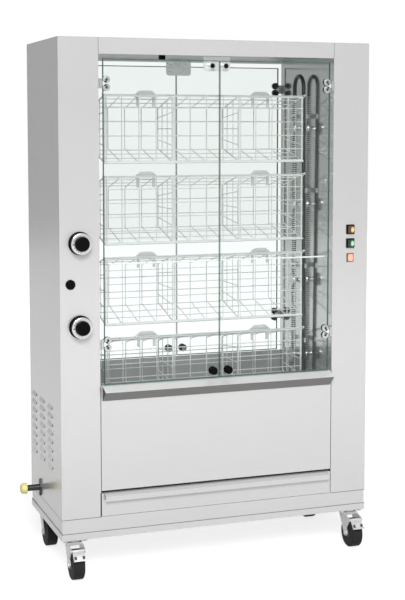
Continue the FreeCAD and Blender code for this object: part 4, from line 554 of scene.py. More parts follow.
def place(name, data, body, origin=(0, 0, 0), bevel=0.0):
    """Put a mesh in the frame as a piece that rides on a body."""
    piece = new_object(name, data)
    piece.location = at(*origin)
    if bevel:
        soften(piece, bevel)
    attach(piece, body)
    return piece


def place_shape(name, shape, materials, body, origin=(0, 0, 0), bevel=0.0):
    """Place a shape whose mesh has the piece's own name."""
    return place(name, shape.mesh(name, materials), body, origin, bevel)


def soften(piece, width):
    """Round the sharp edges a little, so that they catch the light."""
    bevel = piece.modifiers.new("soft_edges", "BEVEL")
    bevel.width = width * MM
    bevel.segments = 2
    bevel.limit_method = "ANGLE"
    bevel.angle_limit = radians(32)
    bevel.use_clamp_overlap = True


def finish_node(node, materials, pick=None):
    """Give a frame node its materials, chosen face by face where pick is given."""
    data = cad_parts[node].data
    data.materials.clear()
    for material in materials:
        data.materials.append(material)
    shift = Vector((MID_X, MID_Y, 0))
    for polygon in data.polygons:
        polygon.material_index = pick((polygon.center - shift) / MM, polygon.normal) if pick else 0


def rounded_path(points, radius, closed=False):
    """Points with every corner turned on an arc."""
    points = [Vector(p) for p in points]
    count = len(points)
    path = []
    for i, point in enumerate(points):
        if not closed and i in (0, count - 1):
            path.append(point)
            continue
        before = (points[i - 1] - point).normalized()
        after = (points[(i + 1) % count] - point).normalized()
        half = before.angle(after) / 2
        reach = radius / tan(half)
        centre = point + (before + after).normalized() * radius / sin(half)
        start = point + before * reach - centre
        end = point + after * reach - centre
        for j in range(ARC_STEPS + 1):
            path.append(centre + start.slerp(end, j / ARC_STEPS))
    return path


def fillet_profile(depth, radius, fillet):
    """Turned profile of a disc from 0 to depth with a rounded front edge."""
    profile = [(0, 0), (0, radius)]
    for j in range(FILLET_STEPS + 1):
        angle = pi / 2 * j / FILLET_STEPS
        profile.append((depth - fillet * (1 - sin(angle)), radius - fillet * (1 - cos(angle))))
    profile.append((depth, 0))
    return profile


# Nodes of the frame that show as they are


def dress_nodes():
    plain = [
        (sheet_upright, ("left_column", "right_column")),
        (sheet_across, ("plinth", "base_frame", "headers", "top_cover", "rear_lower_panel")),
        (sheet_inside, ("deep_drawer_pan", "drawer_shelf", "drawer_runners")),
        (polished, ("inner_walls",)),
        (ceiling_steel, ("ceiling_panel",)),
        (clamp_steel, ("hinge_brackets",)),
        (pale_steel, ("door_stops",)),
        (bright_steel, ("burner_clips", "spindle_bearings")),
        (oiled_steel, ("motor_sprocket", "drive_chain")),
        (black_paint, ("gas_pipework",)),
        (black_plastic, ("door_switch", "cable_gland")),
        (zinc, ("castor_plates", "front_left_brake_pedal", "front_right_brake_pedal")),
        (zinc, [corner + "_fork" for corner in CORNERS]),
        (glass, [corner + "_glass" for corner in CORNERS]),
    ]
    for material, nodes in plain:
        for node in nodes:
            finish_node(node, [material])
    for node in ("deep_drawer_front", "lower_drawer"):
        finish_node(node, [sheet_across, shaded_edge, painted_light_lip, painted_shade_lip], drawer_face)
    finish_node("gear_motor", [motor_paint, sheet_inside], motor_face)
    finish_node("gas_valves", [brass, black_plastic], valve_face)


def drawer_face(centre, normal):
    """Material number of a drawer's face: painted shade on the ends, painted light on the lips' upward
    faces and painted shade on their downward faces.
    """
    ahead = centre.y < FRONT - 0.5
    # End faces are painted shade of the gaps beside the drawers
    if abs(normal.x) > 0.9 and centre.y < FRONT + LIP_ENDS_BACK:
        return 1
    # Upward faces of a lip get painted light, downward faces painted shade
    if ahead and normal.z > 0.3 and centre.z > LIP_LOWEST:
        return 2
    if ahead and normal.z < -0.1:
        return 3
    return 0


def motor_face(centre, normal):
    """Material number of the motor's face: its shelf is plain sheet."""
    return 1 if centre.z < MOTOR_SHELF_TOP else 0


def valve_face(centre, normal):
    """Material number of a valve's face: the bezels in front and the igniter's body are plastic."""
    return 1 if centre.y < FRONT + 1 or centre.x < IGNITER_RIGHT else 0


# Small pieces on the cabinet


def grip_end_shade():
    """Painted shade in the open ends of the deep drawer's folded lip: thin dark insets where the hollow
    lies in shade.
    """
    low, high = span("deep_drawer_front")
    shape = Shape()
    root_y = FRONT - HOLLOW_PROUD
    profile = [
        (root_y, high.z - 2 * HOLLOW_INSET),
        (FRONT - LIP_REACH + 2 * HOLLOW_INSET, high.z - LIP_NOSE_DROP - HOLLOW_INSET / 2),
        (root_y, high.z - LIP_HEIGHT + 2 * HOLLOW_INSET),
    ]
    for end, side in ((low.x + LIP_SIDE_GAP, 1), (high.x - LIP_SIDE_GAP, -1)):
        x = end + side * HOLLOW_BACK
        shape.prism([(x, y, z) for y, z in profile], (side * HOLLOW_THICKNESS, 0, 0))
    place_shape("grip_end_shade", shape, [shaded_edge], "deep_drawer")


def joint_lines():
    """Thin dark joints between plinth, base, columns and headers, just proud of the sheet, and a wider dark
    strip of painted shade in the gap beside the lower drawer.
    """
    shape = Shape()
    edge = span("left_column")[1].x
    header_low, header_high = span("headers")
    plinth_top = span("plinth")[1].z
    base_top = span("base_frame")[1].z
    reach = HALF_WIDTH + JOINT_PROUD
    front_lines = [(plinth_top, -reach, edge), (plinth_top, -edge, reach), (base_top, -reach, reach)]
    rear_lines = [(plinth_top, -reach, reach), (base_top, -reach, reach)]
    for y, lines in ((-HALF_DEPTH, front_lines), (HALF_DEPTH, rear_lines)):
        for z, start, end in lines:
            shape.bar((start, y, z), (end, y, z), (0, JOINT_PROUD, JOINT_HALF))
    for z in (plinth_top, base_top):
        for x in (-HALF_WIDTH, HALF_WIDTH):
            shape.bar((x, -HALF_DEPTH, z), (x, HALF_DEPTH, z), (JOINT_PROUD, 0, JOINT_HALF))
    for x in (-edge, edge):
        for y in (-HALF_DEPTH, HALF_DEPTH):
            shape.bar((x, y, header_low.z), (x, y, header_high.z), (JOINT_HALF, JOINT_PROUD, 0))
    # Painted shade: a wider dark strip in the gap between the left column and the lower drawer
    gap_top = span("lower_drawer")[1].z + DRAWER_GAP_RISE
    shape.block((edge - DRAWER_GAP, -HALF_DEPTH - JOINT_PROUD, plinth_top), (edge, -HALF_DEPTH, gap_top))
    place_shape("joint_lines", shape, [shaded_edge], "cabinet")


def build_dust_cap():
    """Stepped yellow cap on the end of the gas inlet."""
    low, high = span("inlet_cap")
    shape = Shape()
    profile = [(0, 11), (0, 17.4), (1.2, 18.6), (4.2, 19), (5.2, 18)]
    profile += [(13, 18.2), (17, 17), (20, 14), (21.6, 9), (22, 0)]
    shape.turned(profile, (0, 0, 0), (-1, 0, 0), 40)
    origin = (high.x - CAP_FURTHER, (low.y + high.y) / 2, (low.z + high.z) / 2)
    piece = place_shape("inlet_dust_cap", shape, [yellow_plastic], "cabinet", origin)
    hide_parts("inlet_cap")


# Wire baskets

lid_low, lid_high = span("basket_1_lid")
HALF_HEIGHT = (lid_high.z - lid_low.z) / 2
LID_FRONT = lid_low.y
LID_BACK = lid_high.y
LID_MIDDLE = (LID_FRONT + LID_BACK) / 2
LID_AXIS = HALF_HEIGHT - PIN_DROP
CAGE_FRONT = LID_BACK + LID_GAP + RIM_RADIUS
SPINDLES = [middle("basket_%d_lid" % i).z for i in range(1, 5)]


def half_height_at(y):
    """Half height of the cage's section at a given depth."""
    share = (y - LID_FRONT) / (REAR_Y - LID_FRONT)
    return HALF_HEIGHT + share * (REAR_HALF - HALF_HEIGHT) - RIM_RADIUS


def compartment_edges():
    length = 2 * HALF_LENGTH / COMPARTMENTS
    return [-HALF_LENGTH + i * length for i in range(COMPARTMENTS + 1)]


def wire_columns():
    """Places along x of the plain upright wires between the partitions."""
    width = 2 * HALF_LENGTH / COMPARTMENTS / COLUMNS
    return [edge + i * width for edge in compartment_edges()[:-1] for i in range(1, COLUMNS)]


def lid_wires():
    """Hinged front grid."""
    shape = Shape()
    front_y = LID_MIDDLE - 1.0
    back_y = LID_MIDDLE + 1.0
    half = HALF_HEIGHT - WIRE_RADIUS
    end = HALF_LENGTH - WIRE_RADIUS
    corners = [(x, LID_MIDDLE, z) for x, z in ((-end, -half), (end, -half), (end, half), (-end, half))]
    shape.tube(rounded_path(corners, WIRE_BEND, True), RIM_RADIUS * 0.9, 10, True)
    uprights = wire_columns()
    for edge in compartment_edges()[1:-1]:
        uprights += [edge - DOUBLE_WIRE, edge + DOUBLE_WIRE]
    for x in uprights:
        shape.tube([(x, front_y, -half), (x, front_y, half)], WIRE_RADIUS)
    row = 2 * HALF_HEIGHT / LID_ROWS
    for i in range(1, LID_ROWS):
        z = -HALF_HEIGHT + i * row
        shape.tube([(-end, back_y, z), (end, back_y, z)], WIRE_RADIUS)
    rail_z = -half + RAIL_RADIUS / 2
    shape.tube([(-end, LID_MIDDLE, rail_z), (end, LID_MIDDLE, rail_z)], RAIL_RADIUS, 14)
    for side in (-1, 1):
        pin = [(side * (end - 4), LID_MIDDLE, LID_AXIS), (side * (HALF_LENGTH + 8), LID_MIDDLE, LID_AXIS)]
        shape.tube(pin, PIN_RADIUS)
    return shape


def cage_wires():
    """Cage with partitions and ends, all of round wire."""
    shape = Shape()
    rear = REAR_Y - WIRE_RADIUS
    depth = REAR_Y - CAGE_FRONT
    rows = [CAGE_FRONT + depth * i / CAGE_ROWS for i in range(1, CAGE_ROWS)]
    front_half = half_height_at(CAGE_FRONT)
    rear_half = half_height_at(rear)
    end = HALF_LENGTH - RIM_RADIUS
    edges = compartment_edges()
    for x in wire_columns() + edges:
        framed = x in edges
        x = max(-end, min(end, x))
        path = [(x, CAGE_FRONT, -front_half), (x, rear, -rear_half)]
        path += [(x, rear, rear_half), (x, CAGE_FRONT, front_half)]
        shape.tube(rounded_path(path, WIRE_BEND), RIM_RADIUS if framed else WIRE_RADIUS)
        if framed:
            shape.tube([(x, CAGE_FRONT, -front_half), (x, CAGE_FRONT, front_half)], WIRE_RADIUS)
            for y in rows:
                half = half_height_at(y)
                shape.tube([(x, y, -half), (x, y, half)], WIRE_RADIUS)
            for i in range(1, END_ROWS):
                share = -1 + 2 * i / END_ROWS
                shape.tube([(x, CAGE_FRONT, share * front_half), (x, rear, share * rear_half)], WIRE_RADIUS)
    for y in rows:
        half = half_height_at(y)
        for z in (-half, half):
            shape.tube([(-end, y, z), (end, y, z)], WIRE_RADIUS)
    highest = REAR_HALF - WIRE_RADIUS
    for i in range(CAGE_ROWS + 1):
        z = -REAR_HALF + 2 * REAR_HALF * i / CAGE_ROWS
        z = max(-highest, min(highest, z))
        shape.tube([(-end, rear, z), (end, rear, z)], WIRE_RADIUS)
    return shape


def cage_rims():
    """Thick front rims at the top and bottom of the cage, with the lid's eyes."""
    shape = Shape()
    end = HALF_LENGTH - RIM_RADIUS
    half = half_height_at(CAGE_FRONT)
    for z in (-half, half):
        shape.tube([(-end, CAGE_FRONT, z), (end, CAGE_FRONT, z)], RIM_RADIUS, 12)
    for side in (-1, 1):
        eye_x = side * (HALF_LENGTH + EYE_OUT)
        eye_centre = Vector((eye_x, LID_MIDDLE, LID_AXIS))
        eye = circle(eye_centre, Vector((0, 1, 0)), Vector((0, 0, 1)), EYE_RADIUS, 16)
        shape.tube(eye, EYE_WIRE, closed=True)
        arm = [
            (eye_x, LID_MIDDLE + EYE_RADIUS, LID_AXIS - 1),
            (eye_x, LID_MIDDLE + 8, LID_AXIS - 9),
            (side * (HALF_LENGTH - 3), CAGE_FRONT + 4, LID_AXIS - 9),
        ]
        shape.tube(rounded_path(arm, 2.0), EYE_ARM)
    return shape


def handle_tabs():
    """Two folded handle tabs on the cage's top."""
    shape = Shape()
    bottom = half_height_at(TAB_Y) + RIM_RADIUS
    front = TAB_Y - TAB_THICKNESS / 2
    foot = TAB_BOTTOM / 2
    head = TAB_TOP / 2
    half_outline = [(foot, 1), (foot - 5, 6), (head + 4, TAB_HEIGHT - 2), (head - 2, TAB_HEIGHT)]
    for x in (-TAB_X, TAB_X):
        outline = [(x - foot, front, bottom + 1)]
        outline += [(x + reach, front, bottom + rise) for reach, rise in half_outline]
        outline += [(x - reach, front, bottom + rise) for reach, rise in reversed(half_outline[1:])]
        shape.prism(outline, (0, TAB_THICKNESS, 0))
        shape.block((x - foot, front, bottom - 4), (x + foot, front + TAB_THICKNESS, bottom + 2))
        for side in (-1, 1):
            centre = x + side * TAB_LEG_SPACING / 2
            low = (centre - TAB_LEG_WIDTH / 2, front + 0.2, REAR_HALF - 1)
            high = (centre + TAB_LEG_WIDTH / 2, front + TAB_THICKNESS - 0.2, bottom)
            shape.block(low, high)
    return shape


def spindle_shape(turn):
    """Hub discs and spindle stubs with their sprocket, its teeth turned by an angle in degrees."""
    shape = Shape()
    cage_low, cage_high = span("basket_1_cage")
    start = HALF_LENGTH - 3
    screw = [(0, 0), (0, 3.4), (1.8, 3.2), (2.4, 2.2), (2.4, 0)]
    for side, end in ((1, cage_high.x), (-1, -cage_low.x)):
        length = end - start
        profile = [(0, 0), (0, HUB_RADIUS - 1), (1, HUB_RADIUS), (HUB_THICKNESS - 1, HUB_RADIUS)]
        profile += [(HUB_THICKNESS, HUB_RADIUS - 1), (HUB_THICKNESS, 13), (9, 11), (9.5, SPINDLE_RADIUS)]
        profile += [(length - 1, SPINDLE_RADIUS), (length, SPINDLE_RADIUS - 1), (length, 0)]
        shape.turned(profile, (side * start, 0, 0), (side, 0, 0), 32)
        for angle in around(HUB_SCREWS, 90):
            y = SCREW_CIRCLE * cos(angle)
            z = SCREW_CIRCLE * sin(angle)
            shape.turned(screw, (side * (HALF_LENGTH + 4), y, z), (side, 0, 0), 12, mark=1)
    pitch_radius = CHAIN_PITCH / (2 * sin(pi / TEETH))
    root = pitch_radius - ROOT_DEPTH
    tip = pitch_radius + TIP_HEIGHT
    sprocket_x = CHAIN_X - SPROCKET_THICKNESS / 2
    outline = []
    for tooth in range(TEETH):
        for reach, offset in ((root, -ROOT_ANGLE), (tip, -TIP_ANGLE), (tip, TIP_ANGLE), (root, ROOT_ANGLE)):
            angle = radians(tooth * 360 / TEETH + offset + turn)
            outline.append((sprocket_x, reach * cos(angle), reach * sin(angle)))
    shape.prism(outline, (SPROCKET_THICKNESS, 0, 0), mark=1)
    collar = [(0, SPINDLE_RADIUS), (0, 14), (7, 14), (8, 13), (8, SPINDLE_RADIUS)]
    shape.turned(collar, (sprocket_x, 0, 0), (1, 0, 0), 32, mark=1)
    return shape


def build_baskets():
    cage = cage_wires().mesh("cage_wires", [wire_steel], 50)
    rims = cage_rims().mesh("cage_rims", [rim_steel], 50)
    lid = lid_wires().mesh("lid_wires", [wire_steel], 50)
    tabs = handle_tabs().mesh("handle_tabs", [tab_steel])
    materials = [bright_steel, oiled_steel]
    spindles = [spindle_shape(turn).mesh("spindle", materials) for turn in (0, 180 / TEETH)]
    for number, z in enumerate(SPINDLES, start=1):
        body = "basket_%d" % number
        centre = (0, 0, z)
        piece = place(body + "_wires", cage, body, centre)
        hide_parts(body + "_cage")
        place(body + "_rims", rims, body, centre)
        place(body + "_handle_tabs", tabs, body, centre, 0.8)
        place(body + "_spindle", spindles[number % 2], body, centre)
        front = place(body + "_lid_wires", lid, body + "_lid", centre)
        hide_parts(body + "_lid")


# Burners


def burner_shape(side):
    """Hairpin tube with a ribbed leg, its stub going into the wall."""
    low, high = span("burner_tubes")
    x = side * (high.x - TUBE_STUB)
    leg = (high.y - low.y) / 2 - TUBE_RADIUS
    bend_z = high.z - TUBE_RADIUS - leg
    foot = low.z + TUBE_RADIUS
    shape = Shape()
    path = rounded_path([(x + side * TUBE_STUB, -leg, foot), (x, -leg, foot), (x, -leg, bend_z)], FOOT_BEND)
    for j in range(1, BEND_STEPS):
        angle = pi * j / BEND_STEPS
        path.append((x, -leg * cos(angle), bend_z + leg * sin(angle)))
    path += [(x, leg, bend_z), (x, leg, foot - TUBE_RADIUS + 2)]
    shape.tube(path, TUBE_RADIUS, 20)
    bottom = foot + RIBS_ABOVE_FOOT
    shape.tube([(x, leg, RIB_TOP), (x, leg, bottom)], TUBE_RADIUS + 0.15, 20, mark=1)
    crest = TUBE_RADIUS + RIB_DEPTH
    rib = [(0, TUBE_RADIUS), (RIB_SLOPE, crest), (RIB_WIDTH - RIB_SLOPE, crest), (RIB_WIDTH, TUBE_RADIUS)]
    for i in range(int((RIB_TOP - bottom) / RIB_PITCH)):
        shape.turned(rib, (x, leg, RIB_TOP - i * RIB_PITCH), (0, 0, -1), 20)
    return shape


def build_burners():
    materials = [burner_steel, pale_steel]
    for name, side in (("left", -1), ("right", 1)):
        piece = place_shape(name + "_burner", burner_shape(side), materials, "cabinet")
        if side < 0:
            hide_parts("burner_tubes")


# Doors


def add_hinge(shape, edge, z):
    """Clamp with two screwed lobes on each face of the pane, a web round its edge, and a hinge barrel."""
    lobe_x = edge - LOBE_RADIUS
    web_x = edge + 0.5
    web_end = web_x + WEB_THICKNESS
    hinge_x = edge + HINGE_OUT
    hinge_y = FRONT - HINGE_PROUD
    front = FRONT - CLAMP_THICKNESS
    back = GLASS_BACK + CLAMP_THICKNESS
    lobe = fillet_profile(CLAMP_THICKNESS, LOBE_RADIUS, 1.2)
    screw = [(0, 0), (0, 4.6), (1.2, 4.2), (1.6, 3.4), (1.6, 2.2), (0.4, 2.0), (0.4, 0)]
    for lobe_z in (z - LOBE_SPACING / 2, z + LOBE_SPACING / 2):
        shape.turned(lobe, (lobe_x, FRONT, lobe_z), OUTWARD, 32)
        shape.turned(lobe, (lobe_x, GLASS_BACK, lobe_z), INWARD, 32, mark=1)
        shape.turned(screw, (lobe_x, front + 0.2, lobe_z), OUTWARD, 16, mark=2)
        shape.turned([(0, HOLE_RADIUS), (GLASS, HOLE_RADIUS)], (lobe_x, FRONT, lobe_z), INWARD, 16)
    for y0, y1 in ((front, FRONT), (GLASS_BACK, back)):
        shape.block((lobe_x, y0, z - WEB_HALF), (web_end, y1, z + WEB_HALF), mark=3)
    shape.block((web_x, front, z - WEB_HALF), (web_end, back, z + WEB_HALF), mark=3)
    length = 2 * BARREL_HALF
    barrel = [(0, 0), (0, 4.2), (0.8, 5), (length - 0.8, 5), (length, 4.2), (length, 0)]
    shape.turned(barrel, (hinge_x, hinge_y, z - BARREL_HALF), (0, 0, 1), 24)
    shape.block((web_x, hinge_y, z - BARREL_HALF), (hinge_x, FRONT, z + BARREL_HALF))


def add_door_knob(shape):
    """Waisted black knob with its pin through the pane and a round nut behind."""
    knob = [(0, 0), (0, 13.5), (1.5, 13.9), (3, 13.5), (6, 11.2), (12, 11.0), (16, 12.6), (19, 13.5)]
    knob += [(20.8, 12.6), (21.7, 10.5), (22, 8), (22, 0)]
    shape.turned(knob, (KNOB_FROM_CENTRE, FRONT, KNOB_Z), OUTWARD, 40, mark=1)
    shape.turned([(0, HOLE_RADIUS), (GLASS, HOLE_RADIUS)], (KNOB_FROM_CENTRE, FRONT, KNOB_Z), INWARD, 16)
    shape.turned(fillet_profile(4, 8, 1), (KNOB_FROM_CENTRE, GLASS_BACK, KNOB_Z), INWARD, 24)


def add_strike(shape):
    """Strike disc at the pane's top, with a thin dark ring of painted shade for its groove and a dark dot,
    on both of its faces.
    """
    magnet_z = middle("ceiling_panel").z - MAGNET_BELOW_CEILING
    magnet = (MAGNET_FROM_CENTRE, GLASS_BACK, magnet_z)
    shape.turned(fillet_profile(1.7, MAGNET_RADIUS, 0.5), magnet, INWARD, 32)
    # The ring is painted shade of the groove; the dot is a dark mark in the middle
    for inner, outer in ((MAGNET_RADIUS - 3.1, MAGNET_RADIUS - 2.1), (0.3, 1.5)):
        for start, end in ((-0.3, 0.2), (1.5, 2.0)):
            ring = [(start, inner), (end, inner), (end, outer), (start, outer)]
            shape.turned(ring, magnet, INWARD, 32, mark=2)


def door_metal():
    """Right front hinges, knob and strike, with marks 0 steel, 1 black, 2 dark screws, 3 pale steel."""
    shape = Shape()
    edge = span("front_right_glass")[1].x
    for z in HINGE_HEIGHTS:
        add_hinge(shape, edge, z)
    add_door_knob(shape)
    add_strike(shape)
    return shape


def pane_edges(low, high, sx):
    """The dark green of a pane's polished edges, thinnest where two doors meet."""
    shape = Shape()
    x0, y0, z0 = (size - PANE_PROUD for size in low)
    x1, y1, z1 = (size + PANE_PROUD for size in high)
    left, right = (PANE_SEAM, PANE_EDGE) if sx > 0 else (PANE_EDGE, PANE_SEAM)
    shape.block((x0, y0, z0), (x0 + left, y1, z1))
    shape.block((x1 - right, y0, z0), (x1, y1, z1))
    shape.block((x0 + left, y0, z1 - PANE_EDGE), (x1 - right, y1, z1))
    shape.block((x0 + left, y0, z0), (x1 - right, y1, z0 + PANE_EDGE))
    return shape


def clear_strip(low, high):
    """Clear strip across the back of a front pane."""
    shape = Shape()
    start = (low.x + 1, high.y, STRIP_Z - STRIP_HALF_HEIGHT)
    shape.block(start, (high.x - 1, high.y + STRIP_DEPTH, STRIP_Z + STRIP_HALF_HEIGHT))
    return shape


def build_doors():
    metal = door_metal()
    materials = [clamp_steel, black_plastic, dark_screw, pale_steel]
    sides = {"front_right": (1, 1), "front_left": (-1, 1), "rear_right": (1, -1), "rear_left": (-1, -1)}
    for side, (sx, sy) in sides.items():
        door = side + "_door"
        data = metal.flipped(sx, sy).mesh(side + "_metal", materials)
        piece = place(side + "_hardware", data, door)
        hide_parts(side + "_fittings")
        low, high = span(side + "_glass")
        place_shape(side + "_edges", pane_edges(low, high, sx), [edge_glass], door)
        if sy > 0:
            place_shape(side + "_strip", clear_strip(low, high), [strip_clear], door, bevel=0.6)


# Controls


def gas_knob_shape():
    """Silver dial ring with small marks and a black grip, about the knob's axis on the front."""
    shape = Shape()
    axis = (0, 0, 0)
    dial = DIAL_RADIUS
    grip = GRIP_RADIUS
    barrel = [(KNOB_BACK, 25), (KNOB_BACK, dial + 1), (KNOB_BACK + 1, dial + 1.6)]
    barrel += [(27.4, dial + 1), (27.8, grip)]
    shape.turned(barrel, axis, OUTWARD, 64, mark=1)
    ring = [(27.5, grip), (27.5, dial + 0.9), (28.8, dial + 0.8), (29.7, dial - 0.2)]
    ring += [(DIAL_FACE, dial - 1.8), (DIAL_FACE, grip + 1.4), (29, grip + 0.8), (29, grip - 2)]
    shape.turned(ring, axis, OUTWARD, 64)
    cap = [(KNOB_BACK, 0), (KNOB_BACK, grip), (31, grip), (33, grip - 0.3), (43, grip - 1.6)]
    cap += [(44.4, grip - 2.6), (GRIP_FACE, grip - 4.6), (GRIP_FACE, 0)]
    shape.turned(cap, axis, OUTWARD, 56, mark=1)
    for angle in around(GRIP_RIDGES):
        ends = []
        for depth, reach in ((32, grip - 0.2), (43.4, grip - 1.6)):
            ends.append((reach * cos(angle), -depth, reach * sin(angle)))
        shape.tube(ends, 0.9, 6, mark=1)
    reach = (grip + dial) / 2 - 0.6
    for degrees, radius in DIAL_DOTS:
        angle = radians(degrees)
        centre = (reach * cos(angle), -DIAL_FACE + 0.1, reach * sin(angle))
        shape.turned([(0, 0), (0, radius), (0.25, radius), (0.25, 0)], centre, OUTWARD, 14, mark=2)
    shape.block((-grip + 6, -GRIP_FACE - 0.25, -0.9), (-grip + 13, -GRIP_FACE + 0.2, 0.9), mark=1)
    shape.turned([(-20, 0), (-20, 4), (4, 4)], axis, OUTWARD, 16, mark=1)
    return shape


def build_knobs():
    data = gas_knob_shape().mesh("gas_knob", [silver_dial, black_plastic, dial_ink])
    for name in ("upper", "lower"):
        centre = middle(name + "_gas_knob")
        piece = place(name + "_knob", data, name + "_gas_knob", (centre.x, FRONT, centre.z))
        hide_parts(name + "_gas_knob")


def build_igniter():
    """Round push button with a dished face."""
    low, high = span("igniter_button")
    depth = high.y - low.y
    shape = Shape()
    profile = [(0, 0), (0, 12), (depth - 2.4, 12), (depth - 0.8, 11), (depth - 0.1, 9)]
    profile += [(depth - 0.9, 6), (depth - 1.4, 0)]
    shape.turned(profile, (0, depth / 2, 0), OUTWARD, 40)
    origin = tuple((low + high) / 2)
    piece = place_shape("igniter_cap", shape, [black_plastic], "igniter_button", origin)
    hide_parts("igniter_button")


def outline_of(half_x, half_z, corner, y=0.0):
    """Rounded upright rectangle facing the front."""
    corners = [(-half_x, y, -half_z), (half_x, y, -half_z), (half_x, y, half_z), (-half_x, y, half_z)]
    return rounded_path(corners, corner, True)


def switch_frame():
    """Deep black frame round a rocker, about its middle on the front."""
    shape = Shape()
    sections = [(18.2, 19.6, 4, 0), (18.2, 19.6, 4, -1.6), (17.4, 18.9, 4, -2.2), (16.6, 18.4, 4, -7)]
    sections += [(15.6, 17.4, 4, -8), (13, 14.1, 1.5, -8), (12.4, 13.4, 1.5, -7.4), (12.4, 13.4, 1.5, 9)]
    shape.rings([outline_of(*section) for section in sections])
    shape.block((-14.4, 9, -15.9), (14.4, 30, 15.9))
    return shape


def rocker_shape():
    """Rocker with its rounded face, about its pin."""
    shape = Shape()
    half_width = ROCKER_WIDTH / 2
    sweep = radians(ROCKER_SWEEP)
    outline = []
    for j in range(ROCKER_STEPS + 1):
        angle = radians(-ROCKER_SWEEP + j * 2 * ROCKER_SWEEP / ROCKER_STEPS)
        y = -ROCKER_RADIUS * cos(angle) + 2.7
        outline.append((-half_width, y, ROCKER_HALF * sin(angle) / sin(sweep)))
    outline += [(-half_width, 5, ROCKER_HALF), (-half_width, 5, -ROCKER_HALF)]
    shape.prism(outline, (ROCKER_WIDTH, 0, 0))
    return shape


def build_switches():
    x = middle("switch_bodies").x
    frame_mesh = switch_frame().mesh("switch_frame", [black_plastic])
    # Each rocker's deep lens colour and the colour of its painted glare spot
    lights = {
        "light": ("amber_lens", (0.1, 0.05, 0.02), (1.0, 0.66, 0.36, 1)),
        "motor": ("green_lens", (0.012, 0.055, 0.025), (0.55, 0.86, 0.58, 1)),
    }
    # Centre and size of each rocker's painted glare spot
    lamp = ((0.0045, -0.007, -0.001), (0.0062, 0.03, 0.009))
    for name, (slot, deep, glow) in lights.items():
        z = ROCKER_HEIGHTS[name]
        piece = place(name + "_switch_frame", frame_mesh, "cabinet", (x, FRONT, z))
        if name == "light":
            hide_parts("switch_bodies")
        lens = lens_glow_and_glare(name + "_lens_painted_glare", deep, glow, *lamp)
        origin = (x, FRONT - 2, z)
        rocker = name + "_rocker"
        piece = place_shape(rocker + "_cap", rocker_shape(), [lens], rocker, origin, 0.8)
        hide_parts(rocker)


def build_pilot_lamp():
    """Red frame with a lit lens standing out of it, and its body behind the sheet."""
    lamp = ((0, -0.006, 0), (0.013, 0.03, 0.017))
    glow = lens_glow_and_glare("pilot_glow", (0.3, 0.05, 0.03), (1.0, 0.55, 0.38, 1), *lamp)
    shape = Shape()
    rim = [(13.8, 16, 2, 0), (13.8, 16, 2, -2.2), (13.1, 15.3, 2, -3), (10.2, 13.2, 1.5, -3)]
    shape.rings([outline_of(*section) for section in rim])
    lens = [(10.2, 13.2, 1.5, -2), (10.2, 13.2, 1.5, -4.6), (9.4, 12.4, 1.5, -5.6), (7, 10, 1.5, -6)]
    shape.rings([outline_of(*section) for section in lens], mark=1)
    shape.turned([(0, 0), (0, 11), (28, 11), (28, 0)], (0, 0, 0), INWARD, 24)
    origin = (middle("switch_bodies").x, FRONT, PILOT_Z)
    place_shape("pilot_lamp", shape, [pilot_red, glow], "cabinet", origin)


# Castors


def build_pedal_slot_shade():
    """Painted shade of the two slots pressed in each brake pedal's curved plate, drawn as thin dark insets.
    """
    for name in CORNERS[:2]:
        centre_x = middle(name + "_brake_pedal").x
        axle = middle(name + "_wheel")
        arcs = [(PEDAL_OUTER + SLOT_PROUD, angle) for angle in SLOT_ANGLES]
        arcs += [(PEDAL_OUTER - SLOT_DEPTH, angle) for angle in reversed(SLOT_ANGLES)]
        shape = Shape()
        for side in (-1, 1):
            start = centre_x + side * SLOT_INNER
            outline = []
            for radius, degrees in arcs:
                y = axle.y - radius * cos(radians(degrees))
                outline.append((start, y, axle.z + radius * sin(radians(degrees))))
            shape.prism(outline, (side * (SLOT_OUTER - SLOT_INNER), 0, 0))
        place_shape(name + "_pedal_slot_shade", shape, [shaded_edge], name + "_brake_pedal")


def wheel_shape():
    """Rubber tyre on a plastic hub, about the axle."""
    shape = Shape()
    axis = (0, 0, 0)
    across = (1, 0, 0)
    rim = WHEEL_RADIUS - TYRE
    tread = []
    for j in range(TREAD_STEPS + 1):
        angle = pi * (1 - j / TREAD_STEPS)
        flat = TREAD_FLAT if 2 * j > TREAD_STEPS else -TREAD_FLAT
        radius = WHEEL_RADIUS - TREAD_RISE + TREAD_RISE * sin(angle)
        tread.append((cos(angle) * TREAD_ROUND + flat, radius))
    tread[TREAD_STEPS // 2] = (0, WHEEL_RADIUS)
    profile = [(-WHEEL_HALF, rim)] + tread + [(WHEEL_HALF, rim)]
    profile += [(WHEEL_HALF - 1, rim - 0.5), (-WHEEL_HALF + 1, rim - 0.5)]
    shape.turned(profile, axis, across, 72)
    hub = [(-20, 5.1), (-20, 14), (-19, 15), (-10, 15.5), (-9, 17), (-9, 33)]
    hub += [(-10.5, 34.8), (-18, 35.4), (-18.8, 36.5), (-18.8, rim)]
    hub += [(-x, radius) for x, radius in reversed(hub)]
    shape.turned(hub + [hub[0]], axis, across, 48, mark=1)
    for x in (-11, 11):
        for angle in around(HUB_SPOKES):
            y, z = cos(angle), sin(angle)
            shape.tube([(x, 14 * y, 14 * z), (x, 35 * y, 35 * z)], [3.2, 2.2], mark=1)
    return shape


def build_wheels():
    data = wheel_shape().mesh("wheel", [rubber, hub_plastic], 30)
    for name in CORNERS:
        axle = tuple(middle(name + "_wheel"))
        piece = place(name + "_tyre_and_hub", data, name + "_castor_wheel", axle)
        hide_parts(name + "_wheel")


# Surroundings


